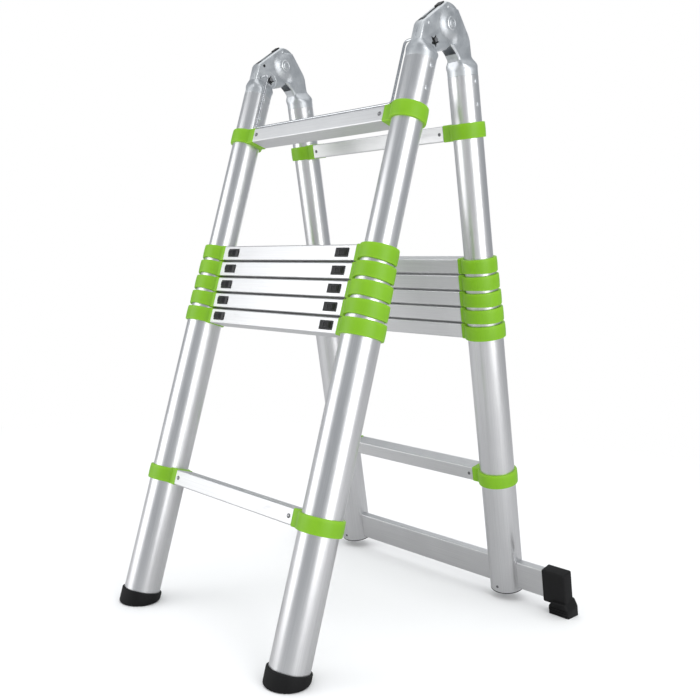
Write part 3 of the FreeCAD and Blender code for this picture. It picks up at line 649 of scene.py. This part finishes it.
def buttonShapes(section, rung, side):
    # in a frame whose X runs outward from the middle of the rung
    b = buttonLook
    face = ladder["stileY"] - ladder["rungDepth"] / 2
    station = ladder["stileX"] - b["fromStile"]
    middle = rungMiddle(section, rung)
    half, tall = b["length"] / 2, b["height"] / 2
    shapes = [roundedBlock(
        between(station, half), (face - 0.3, face - b["bezel"]), between(middle, tall), 0.7, 3)]
    centre = station + b["thumbShift"]
    x0, x1 = centre - b["thumbLength"] / 2, centre + b["thumbLength"] / 2
    z0, z1 = middle - b["thumbHeight"] / 2, middle + b["thumbHeight"] / 2
    top = face - b["proud"]
    root = face - b["bezel"] + 0.3
    thumb = bmesh.new()
    lower = [thumb.verts.new(p) for p in ((x0, root, z0), (x1, root, z0), (x1, root, z1), (x0, root, z1))]
    x2, x3, z2, z3 = x0 + b["topInset"], x1 - b["farInset"], z0 + b["sideInset"], z1 - b["sideInset"]
    upper = [thumb.verts.new(p) for p in ((x2, top, z2), (x3, top, z2), (x3, top, z3), (x2, top, z3))]
    thumb.faces.new(lower)
    thumb.faces.new(reversed(upper))
    for i in range(4):
        j = (i + 1) % 4
        thumb.faces.new((lower[j], lower[i], upper[i], upper[j]))
    bmesh.ops.recalc_face_normals(thumb, faces=thumb.faces)
    roundEdges(thumb, list(thumb.edges), 0.7)
    shapes.append(thumb)
    first, last = x2 + b["ribInset"], x3 - b["ribInset"]
    for i in range(b["ribs"]):
        x = first + (last - first) * i / (b["ribs"] - 1)
        shapes.append(roundedBlock(
            between(x, b["ribHalfWidth"]), (top + 0.4, top - b["ribHeight"]), (z2 + 1, z3 - 1), 0.35, 2))
    inner = face + b["wall"] + 0.3
    stem = b["slotHeight"] / 2 - 0.3
    shapes.append(roundedBlock(
        between(station, b["stemLength"] / 2), (face - 0.6, inner + 1), between(middle, stem), 0.4, 2))
    y = ladder["stileY"]
    shapes.append(roundedBlock(
        between(station, half - b["carrierInset"]), (inner, y + b["pin"]),
        between(middle, b["carrierHeight"] / 2), 1.0, 2))
    tip = ladder["stileX"] - tubeRadius(rung + 1) - 2 * ladder["slideClearance"]
    shapes.append(rod((station, y, middle), (tip, y, middle), b["pin"], 24, 0.8))
    mirror = sectionMatrix(section) @ Matrix.Diagonal((side, 1, 1, 1))
    return [(shape, mirror) for shape in shapes]


for section in sections:
    for rung in range(2, 7):
        for side in (-1, 1):
            hand = "right" if (side > 0) != (section == "back") else "left"
            node = f"{section}_rung_{rung}_button_{hand}"
            mesh = joinShapes(f"{node}_thumb", buttonShapes(section, rung, side), 30)
            addPiece(mesh.name, mesh, node, blackButton, "black_button", node)
print("buttons ready")


# Rivets on the fixed rungs and the top tubes

rivetLook = {
    "radius": 4.2, "height": 1.5, "backRadius": 3.57, "backHeight": 1.2, "inset": 9.0, "dimple": 0.5,
    "tubeDrops": (104.0, 146.0), "tubeRadius": 4.3, "tubeHeight": 1.5, "tubeDimple": 0.3,
}


def rungRivets(section, rung):
    r = rivetLook
    middle = rungMiddle(section, rung)
    face = ladder["stileY"] - ladder["rungDepth"] / 2
    back = face + ladder["rungDepth"]
    shapes = []
    for side in (-1, 1):
        x = side * (rungEnd(rung) - r["inset"])
        shapes.append(domeHead((x, face, middle), (0, -1, 0), r["radius"], r["height"], r["dimple"]))
        shapes.append(domeHead((x, back, middle), (0, 1, 0), r["backRadius"], r["backHeight"], r["dimple"]))
    return [(shape, sectionMatrix(section)) for shape in shapes]


def tubeRivets(section):
    r = rivetLook
    shapes = []
    radius = tubeRadius(7)
    for side in (-1, 1):
        for drop in r["tubeDrops"]:
            for way in (-1, 1):
                base = (way * radius, ladder["stileY"], -drop)
                head = domeHead(base, (way, 0, 0), r["tubeRadius"], r["tubeHeight"], r["tubeDimple"])
                shapes.append((head, stileMatrix(section, side)))
    return shapes


for section in sections:
    for rung in (1, 7):
        mesh = joinShapes(f"{section}_rung_{rung}_rivets", rungRivets(section, rung))
        addPiece(mesh.name, mesh, bodyOf(section, rung), oiledSteel, "aluminium_rung")
    mesh = joinShapes(f"{section}_hinge_tube_rivets", tubeRivets(section))
    addPiece(mesh.name, mesh, bodyOf(section, 7), zincPressing, "zinc_steel")
print("rivets ready")


# Hinges

hingeLook = {
    "plate": 3.0, "frontFace": 67.0, "backFace": 58.0, "innerEdge": 17.0,
    "coverStart": (-19.9, 33.5), "coverEnd": (-67.0, -31.0), "coverPlate": 2.4,
    "frontHalfWidth": 12.0, "backHalfWidth": 15.3, "frontRound": 4.0, "backRound": 5.5,
    "rimRadius": 39.0, "backRadius": 30.0, "channelEnd": 68.0,
    "shoulderTop": 56.0, "shoulderEnd": 82.0, "tubeTop": 92.0,
    "starCentre": (-28.5, -48.5), "starOuter": 12.5, "starInner": 6.0, "starPoints": 5, "starTurn": 20.0,
    "bulge": 3.2, "bulgeSpread": 22.0, "feather": 15.0, "dishRadius": 10.5, "pinRadius": 7.08,
    "seamWidth": 1.0,
    "leverEnds": ((0.0, 15.0), (60.0, 71.0)), "leverHalfWidth": 6.6, "leverBarHalfWidth": 3.6,
    "smallRivets": ((-52.0, -25.0), (-12.0, 27.0)), "guideHole": 3.2,
    "rimArc": (120.7, -66), "backArc": (100, -70), "frontArch": ((7, -47), (-2, -52), (-10, -57), (-15, -62)),
    "backArch": ((2, -40), (-4, -46), (-10, -53), (-14.5, -60)),
    "frontHollow": ((-11, -54), (-2, -48.6), (5, -44)), "backHollow": ((-17.5, -59), (-13.5, -54)),
    "beyond": 60, "leverDepth": 2.6,
    "smallHead": (3.4, 1.2, 0.4), "pivotHead": (7.6, 1.7, 0.35),
    "beadRadius": 17.5, "beadFrom": 118.0, "beadTo": -62.0, "beadHeight": 0.9, "beadHalfWidth": 1.5,
}


def frontOutline():
    h = hingeLook
    face, end, inner = -h["frontFace"], -h["channelEnd"], -h["innerEdge"]
    corner = h["coverEnd"][1]
    lower = [*h["frontArch"], (inner, end), (face, end), (face, corner), (face + 2.6, corner + 6)]
    return arc(h["rimRadius"], *h["rimArc"], 40) + lower


def backOutline():
    h = hingeLook
    face, end, inner = -h["backFace"], -h["channelEnd"], -h["innerEdge"]
    outer = [(face, end), (face + 1.5, -50), (face + 2, -30), (face + 5, -20), (-28, 26)]
    return arc(h["backRadius"], *h["backArc"], 30) + [*h["backArch"], (inner, end)] + outer


def shoulder(halfWidth, face):
    # flares from the channel into the round of the tube
    h = hingeLook
    shape = bmesh.new()
    count, rows = 64, 16
    radius = tubeRadius(7) - 0.25
    centreY = (-face - h["innerEdge"]) / 2
    rings = []
    shares = [i / (rows - 1) for i in range(rows)]
    heights = [(-h["shoulderTop"] - (h["shoulderEnd"] - h["shoulderTop"]) * t, t) for t in shares]
    heights += [(-h["tubeTop"] + 0.6, 1.0), (-h["tubeTop"], 1.0)]
    for index, (z, t) in enumerate(heights):
        s = t * t * (3 - 2 * t)
        halfX = (halfWidth - 0.4) * (1 - s) + radius * s
        halfY = ((face - h["innerEdge"]) / 2 - 0.4) * (1 - s) + radius * s
        middleY = centreY * (1 - s) + ladder["stileY"] * s
        power = 7 * (1 - s) + 2 * s
        trim = 0.4 if index == len(heights) - 1 else 0
        ring = []
        for k in range(count):
            a = 2 * math.pi * k / count
            c, d = math.cos(a), math.sin(a)
            r = (abs(c / halfX) ** power + abs(d / halfY) ** power) ** (-1 / power) - trim
            ring.append(shape.verts.new((r * c, middleY + r * d, z)))
        rings.append(ring)
    bridge(shape, rings)
    return capAndTurnOut(shape, rings)


def starPrism():
    h = hingeLook
    points = []
    for i in range(2 * h["starPoints"]):
        r = h["starOuter"] if i % 2 == 0 else h["starInner"]
        a = math.radians(h["starTurn"] + 180 * i / h["starPoints"])
        points.append((h["starCentre"][0] + r * math.cos(a), h["starCentre"][1] + r * math.sin(a)))
    return prism(roundOff(points, 1.2, 3), (-30, 30))


def alongCover():
    start, end = Vector(hingeLook["coverStart"]), Vector(hingeLook["coverEnd"])
    run = (end - start).normalized()
    return start, run, Vector((run.y, -run.x))


def coverSlots():
    # a long slot down the sloping cover, wider at both ends for the ends of the lock lever
    h = hingeLook
    start, run, out = alongCover()
    (top, topEnd), (low, lowEnd) = h["leverEnds"]
    slots = []
    for near, far, half in (
        (top - 0.7, topEnd + 0.7, h["leverHalfWidth"] + 0.8),
        (low - 0.7, lowEnd + 0.7, h["leverHalfWidth"] + 0.8),
        (top, lowEnd, h["leverBarHalfWidth"] + 0.5),
    ):
        a, b = start + run * near, start + run * far
        through = out * 6
        outline = [tuple(a + through), tuple(b + through), tuple(b - through), tuple(a - through)]
        slots.append(prism(outline, (-half, half)))
    return slots


def lockLever():
    # the dark lever under the cover: its two ends stand in the slots and its bar lies sunk between them
    h = hingeLook
    start, run, out = alongCover()
    (top, topEnd), (low, lowEnd) = h["leverEnds"]
    shapes = []
    for near, far, proud, half in (
        (top, topEnd, 2.2, h["leverHalfWidth"]), (low, lowEnd, 1.2, h["leverHalfWidth"]),
        (topEnd - 1, low + 1, -1.0, h["leverBarHalfWidth"]),
    ):
        a, b = start + run * near, start + run * far
        high, deep = out * proud, out * h["leverDepth"]
        outline = [tuple(a + high), tuple(b + high), tuple(b - deep), tuple(a - deep)]
        shapes.append(prism(roundOff(outline, 1.0, 3), (-half, half), 0.4, 2))
    return shapes


def frontHalf():
    h = hingeLook
    width, p, face, edge = h["frontHalfWidth"], h["plate"], -h["frontFace"], -h["innerEdge"]
    body = prism(frontOutline(), (-width, width), h["frontRound"], 4)
    # the hollow is open on the side of the pivot, so that the toothed plate can turn in it
    start, run, out = alongCover()
    top, low = start - out * h["coverPlate"], Vector(h["coverEnd"]) - out * h["coverPlate"]
    far = h["beyond"]
    inside = [(far, far), (-8, far), tuple(top), tuple(low), (face + p, -36), (face + p, -90)]
    inside += [(edge - p, -90), (edge - p, -66), *h["frontHollow"], (far, -36)]
    hollow = prism(inside, (-width + p, width - p))
    body = combine(body, [hollow], "DIFFERENCE")
    bore = rod((-30, 0, 0), (30, 0, 0), h["pinRadius"], 32)
    seam = roundedBlock(between(0, h["seamWidth"] / 2), (face - 1, face + 0.8), (-h["shoulderTop"], -38), 0)
    (guideY, guideZ), _ = h["smallRivets"]
    guide = rod((-width - 1, guideY, guideZ), (-width + p + 1, guideY, guideZ), h["guideHole"], 24)
    return combine(body, [bore, guide, starPrism(), seam, *coverSlots()], "DIFFERENCE")


def beadRound(centre):
    # a low half-round bead pressed out of the inner cheek in an arc round the star
    h = hingeLook
    shape = bmesh.new()
    columns = []
    steps, facets = 36, 6
    for step in range(steps + 1):
        a = math.radians(h["beadFrom"] + (h["beadTo"] - h["beadFrom"]) * step / steps)
        taper = math.sin(math.pi * min(max(step / steps, 0.02), 0.98)) ** 0.4
        ring = []
        for k in range(facets + 1):
            b = math.pi * k / facets
            r = h["beadRadius"] - h["beadHalfWidth"] * taper * math.cos(b)
            x = -h["frontHalfWidth"] + 0.4 - (h["beadHeight"] + 0.4) * taper * math.sin(b)
            ring.append(shape.verts.new((x, centre[0] + r * math.cos(a), centre[1] + r * math.sin(a))))
        columns.append(ring)
    bridge(shape, columns)
    return capAndTurnOut(shape, columns)


def backHalf():
    h = hingeLook
    width, p, face, edge = h["backHalfWidth"], h["plate"], -h["backFace"], -h["innerEdge"]
    body = prism(backOutline(), (-width, width), h["backRound"], 5)
    clear = width - p
    inside = [(h["beyond"], 90), (-75, 90), (-75, -20), (face + p + 2, -32), (face + p, -60), (face + p, -90)]
    inside += [(edge - p, -90), (edge - p, -66), *h["backHollow"], (h["beyond"], -24)]
    hollow = prism(inside, (-clear, clear))
    body = combine(body, [hollow], "DIFFERENCE")
    # a finer mesh, so that the cheeks can be pressed out round the pivot and thinned at their rims
    bmesh.ops.triangulate(body, faces=body.faces)
    for _ in range(4):
        long = [e for e in body.edges if e.calc_length() > 3.0]
        bmesh.ops.subdivide_edges(body, edges=long, cuts=1)
        bmesh.ops.triangulate(body, faces=[f for f in body.faces if len(f.verts) > 3])
    skin = clear + 0.15
    for vertex in body.verts:
        x, y, z = vertex.co
        if abs(x) < skin:
            continue
        swell = h["bulge"] * math.exp(-(math.hypot(y + 3, z + 2) / h["bulgeSpread"]) ** 2)
        inward = min(max((h["backRadius"] - math.hypot(y, z)) / h["feather"], 0.0), 1.0)
        share = min(max((y + 14) / 12, 0.0), 1.0) if z > -36 else 0.0
        thin = 1 - share * (1 - inward * inward * (3 - 2 * inward))
        vertex.co.x = math.copysign(skin + (abs(x) - skin + swell) * thin, x)
    return body


def pressedDish(width):
    # the ring pressed into a back cheek round the pivot, and the rivet head in it
    h = hingeLook
    r = h["dishRadius"]
    hub = h["pinRadius"] - 0.2
    profile = [
        (hub, -3.0), (r - 1.0, -3.0), (r + 1.8, -0.4), (r + 0.4, 0.55), (r - 1.0, 0.7),
        (r - 2.2, 0.2), (r - 3.2, -0.3), (hub, -0.4),
    ]
    dish = lathe(lambda a: profile, 48, closed=True)
    head = domeHead((0, 0, -0.4), (0, 0, 1), *h["pivotHead"], 36)
    shapes = []
    for way in (-1, 1):
        turn = Matrix.Rotation(way * math.pi / 2, 4, "Y")
        place = Matrix.Translation((way * (width + h["bulge"] * 0.97), 0, 0)) @ turn
        shapes += [(dish, place), (head, place)]
    return shapes


halves = {
    "front": [frontHalf(), shoulder(hingeLook["frontHalfWidth"], hingeLook["frontFace"])],
    "back": [backHalf(), shoulder(hingeLook["backHalfWidth"], hingeLook["backFace"])],
}
halves["front"].append(beadRound(hingeLook["starCentre"]))
for way in (-1, 1):
    for y, z in hingeLook["smallRivets"][0 if way > 0 else 1:]:
        base = (way * hingeLook["frontHalfWidth"], y, z)
        halves["front"].append(domeHead(base, (way, 0, 0), *hingeLook["smallHead"], 20))
pivotRod = rod((-15, 0, 0), (15, 0, 0), hingeLook["pinRadius"] - 0.1, 32)
hingeParts = {"front": [], "back": [], "pins": [], "levers": []}
for side in (-1, 1):
    front, back = stileMatrix("front", side), stileMatrix("back", side)
    hingeParts["front"] += [(shape, front) for shape in halves["front"]]
    hingeParts["levers"] += [(shape, front) for shape in lockLever()]
    hingeParts["back"] += [(shape, back) for shape in halves["back"]]
    dishes = pressedDish(hingeLook["backHalfWidth"])
    hingeParts["pins"] += [(shape, back @ turn) for shape, turn in dishes] + [(pivotRod, back)]
hinges = (
    ("front", "hinge_front_pressings", "front_stage_7", zincPressing, "zinc_steel", ("hinge_front_halves",)),
    ("back", "hinge_back_pressings", "back_stage_7", zincPressing, "zinc_steel", ("hinge_back_halves",)),
    ("pins", "hinge_pivot_rivets", "back_stage_7", zincPressing, "zinc_steel", ("hinge_pivot_pins",)),
    ("levers", "hinge_lock_levers", "front_stage_7", blackButton, "black_button", ()),
)
for key, name, body, material, slotName, nodes in hinges:
    addPiece(name, joinShapes(name, hingeParts[key], 30), body, material, slotName, *nodes)
print("hinges ready")


# Boots, stabiliser feet and the small screws over the bar

bootLook = {"wall": 4.0, "rise": 23.0, "rimRound": 1.2, "soleRound": 5.0, "sides": 96}


def bootShape():
    b = bootLook
    bore, outer = ladder["baseRadius"], ladder["baseRadius"] + b["wall"]
    rim = groundHeight(ladder["stileY"]) + b["rise"]

    def profile(a):
        def down(r):
            return groundHeight(ladder["stileY"] + r * math.sin(a))
        e = b["soleRound"]
        points = [
            (bore + 0.05, rim - 4), (bore + 0.1, rim - 0.4), (bore + 0.8, rim), (outer - 0.9, rim),
            (outer - 0.2, rim - 0.5), (outer, rim - b["rimRound"]),
        ]
        for k in range(6):
            t = math.radians(90 * k / 5)
            r = outer - e * (1 - math.cos(t))
            points.append((r, down(r) + e * (1 - math.sin(t))))
        points += [(outer - e - 4, down(outer - e - 4)), (3, down(3))]
        return points

    return lathe(profile, b["sides"], (0, ladder["stileY"]))


boot = bootShape()
bootMesh = joinShapes("front_moulded_boots", [(boot, stileMatrix("front", side)) for side in (-1, 1)], 40)
addPiece("front_moulded_boots", bootMesh, "front_base", blackRubber, "black_rubber", "front_feet")

stabiliserLook = {
    "barLength": 664.0, "barHeight": 61.0, "barDepth": 18.0, "barDrop": 1095.0,
    "capLength": 54.0, "capWall": 6.0, "socketEnd": 30.0,
    "padLength": 46.0, "padOverhang": 7.0, "padDepth": 40.0, "padHeight": 34.0, "sole": 10.0,
    "grooves": 3, "grooveStart": 8.0, "groovePitch": 6.0, "grooveHeight": 1.6, "grooveDepth": 1.0,
}


def stabiliserFoot(side):
    s = stabiliserLook
    y = ladder["stileY"]
    start = s["barLength"] / 2
    w = s["capWall"]
    barTop, barBottom, barHalf = -s["barDrop"], -s["barDrop"] - s["barHeight"], s["barDepth"] / 2
    cap = roundedBlock(
        (start, start + s["capLength"]), between(y, barHalf + w), (barBottom - w, barTop + w), 3.6, 5)
    socket = roundedBlock((start - 5, start + s["socketEnd"]), between(y, barHalf), (barBottom, barTop), 0)
    cap = combine(cap, [socket], "DIFFERENCE")
    low = groundHeight(y) - 2 * s["sole"]
    centre = start + s["capLength"] - s["padLength"] / 2 + s["padOverhang"]
    half = s["padLength"] / 2
    top = groundHeight(y) + s["padHeight"]
    outline = [
        (centre - half, low), (centre - half, top - 12), (centre - half + 8, top),
        (centre + half - s["padOverhang"], top), (centre + half, top - 16), (centre + half, low)]
    padFace = s["padDepth"] / 2
    pad = prism(roundOff([(b, a) for a, b in outline], 3.0, 4), between(y, padFace), 3.0, 4)
    # the outline was drawn in X and Z: turn the plate so that it is square to Y
    square = Matrix(((0, 0, 1, 0), (1, 0, 0, 0), (0, 1, 0, 0), (0, 0, 0, 1)))
    bmesh.ops.transform(pad, matrix=square, verts=pad.verts)
    bmesh.ops.recalc_face_normals(pad, faces=pad.faces)
    grooves = []
    for k in range(s["grooves"]):
        z = groundHeight(y) + s["grooveStart"] + s["groovePitch"] * k
        for way in (-1, 1):
            near, far = sorted((y + way * (padFace - s["grooveDepth"]), y + way * (padFace + 2)))
            span = (centre - half + 3, centre + half + 3)
            grooves.append(roundedBlock(span, (near, far), (z, z + s["grooveHeight"]), 0))
    pad = combine(pad, grooves, "DIFFERENCE")
    earth = roundedBlock((-900, 900), (-400, 400), (-200, 0), 0)
    back = sectionMatrix("back").inverted()
    bmesh.ops.transform(earth, matrix=back @ Matrix.Scale(1 / metre, 4), verts=earth.verts)
    pad = combine(pad, [earth], "DIFFERENCE")
    matrix = sectionMatrix("back") @ Matrix.Diagonal((side, 1, 1, 1))
    return [(cap, matrix), (pad, matrix)]


feetMesh = joinShapes("stabiliser_moulded_feet", stabiliserFoot(-1) + stabiliserFoot(1), 40)
addPiece("stabiliser_moulded_feet", feetMesh, "back_base", blackRubber, "black_rubber", "stabiliser_feet")

screwLook = {"tubeLift": 25.2, "lift": 12.0, "radius": 3.2, "height": 1.2}


def barScrews():
    shapes = []
    radius = ladder["baseRadius"]
    height = groundHeight(ladder["stileY"]) + screwLook["tubeLift"] + screwLook["lift"]
    for side in (-1, 1):
        for y in (-1, 1):
            base = (0, ladder["stileY"] + y * radius, height)
            head = domeHead(base, (0, y, 0), screwLook["radius"], screwLook["height"], 0.6, 20)
            shapes.append((head, stileMatrix("back", side)))
    return shapes


screwMesh = joinShapes("stabiliser_screws", barScrews())
addPiece("stabiliser_screws", screwMesh, "back_base", oiledSteel, "aluminium_tube")
print("feet ready")


# Floor, light and camera

studio = {
    "floorReach": 40.0, "floorColour": (0.88, 0.88, 0.885), "floorMottle": 0.985,
    "floorGloss": (0.48, 0.48, 0.485), "floorFadeStart": 1.1, "floorFadeEnd": 2.3,
    "worldSeen": (1, 1, 1), "worldSeenStrength": 1.0, "worldLight": (0.97, 0.985, 1.0), "worldStrength": 1.0,
    "worldGloss": (0.9, 0.95, 1.0), "worldGlossStrength": 0.4,
    "cameraPlace": (1.2133, -1.1808, 0.6453), "cameraForward": (-0.70579, 0.70511, -0.06849),
    "cameraUp": (-0.07992, 0.01682, 0.99666), "lens": 41.95,
}
softboxes = (
    # name, direction round the ladder in degrees, distance, height, width, tall, watts, aim height
    ("right softbox", -10, 2.6, 0.9, 1.7, 2.6, 36, 0.5),
    ("left softbox", -124, 2.8, 1.0, 2.0, 2.6, 30, 0.5),
    ("rear softbox", 120, 3.6, 1.4, 2.0, 2.6, 12, 0.6),
    ("top softbox", 0, 0.01, 3.4, 3.0, 3.0, 22, 0.0),
)

floorMesh = bpy.data.meshes.new("pale floor")
reach = studio["floorReach"]
corners = [(-reach, -reach, 0), (reach, -reach, 0), (reach, reach, 0), (-reach, reach, 0)]
floorMesh.from_pydata(corners, [], [(0, 1, 2, 3)])
floor = newObject("pale floor", floorMesh)
floorMaterial, floorTree, floorShader = newMaterial("pale floor paint")
floorNoise = noiseNode(floorTree, mappedCoordinates(floorTree), 1.2, 3, 0.5)
pale = studio["floorColour"]
darker = tuple(studio["floorMottle"] * c for c in pale)
mottle = rampBetween(floorTree, floorNoise, darker, pale)
link(floorTree, mottle, floorShader.inputs["Base Color"])
floorShader.inputs["Roughness"].default_value = 0.8
floorShader.inputs["Specular IOR Level"].default_value = 0.1
# far from the ladder the floor fades into the white backdrop; glossy metal sees a darker floor
distance = floorTree.nodes.new("ShaderNodeVectorMath")
distance.operation = "LENGTH"
link(floorTree, floorTree.nodes.new("ShaderNodeTexCoord").outputs["Object"], distance.inputs[0])
away = mapTo(floorTree, distance.outputs["Value"], 0, 1, studio["floorFadeStart"], studio["floorFadeEnd"])
backdrop = floorTree.nodes.new("ShaderNodeEmission")
backdrop.inputs["Strength"].default_value = 1.0
backdrop.inputs["Color"].default_value = (1, 1, 1, 1)
faded = mixShaders(floorTree, away, floorShader.outputs["BSDF"], backdrop.outputs["Emission"])
dim = floorTree.nodes.new("ShaderNodeBsdfDiffuse")
dim.inputs["Color"].default_value = (*studio["floorGloss"], 1)
paved = mixShaders(floorTree, rayKind(floorTree, "Is Glossy Ray"), faded, dim.outputs["BSDF"])
floorOutput = next(n for n in floorTree.nodes if n.type == "OUTPUT_MATERIAL")
link(floorTree, paved, floorOutput.inputs["Surface"])
floorMesh.materials.append(floorMaterial)

world = bpy.data.worlds.new("studio")
bpy.context.scene.world = world
world.use_nodes = True
sky = world.node_tree
sky.nodes.clear()


def skyNode(colour, strength):
    node = sky.nodes.new("ShaderNodeBackground")
    node.inputs["Color"].default_value = (*studio[colour], 1)
    node.inputs["Strength"].default_value = studio[strength]
    return node.outputs["Background"]


lit, glossy = skyNode("worldLight", "worldStrength"), skyNode("worldGloss", "worldGlossStrength")
unseen = mixShaders(sky, rayKind(sky, "Is Glossy Ray"), lit, glossy)
seen = skyNode("worldSeen", "worldSeenStrength")
output = sky.nodes.new("ShaderNodeOutputWorld")
link(sky, mixShaders(sky, rayKind(sky, "Is Camera Ray"), unseen, seen), output.inputs["Surface"])

for name, degrees, distance, height, width, tall, watts, aim in softboxes:
    light = bpy.data.lights.new(name, "AREA")
    light.shape = "RECTANGLE"
    light.size, light.size_y, light.energy = width, tall, watts
    lamp = newObject(name, light)
    a = math.radians(degrees)
    lamp.location = (distance * math.cos(a), distance * math.sin(a), height)
    toward = Vector((0, 0, aim)) - lamp.location
    lamp.rotation_euler = toward.to_track_quat("-Z", "Y").to_euler()
    lamp.visible_camera = False

cameraData = bpy.data.cameras.new("studio camera")
camera = newObject("studio camera", cameraData)
forward = Vector(studio["cameraForward"]).normalized()
upward = Vector(studio["cameraUp"])
right = forward.cross(upward).normalized()
upward = right.cross(forward).normalized()
camera.matrix_world = Matrix((
    (right.x, upward.x, -forward.x, studio["cameraPlace"][0]),
    (right.y, upward.y, -forward.y, studio["cameraPlace"][1]),
    (right.z, upward.z, -forward.z, studio["cameraPlace"][2]),
    (0, 0, 0, 1)))
cameraData.lens = studio["lens"]
cameraData.sensor_width = 36
cameraData.clip_start, cameraData.clip_end = 0.05, 200
bpy.context.scene.camera = camera
bpy.context.scene.view_settings.view_transform = "Standard"
print("studio ready")
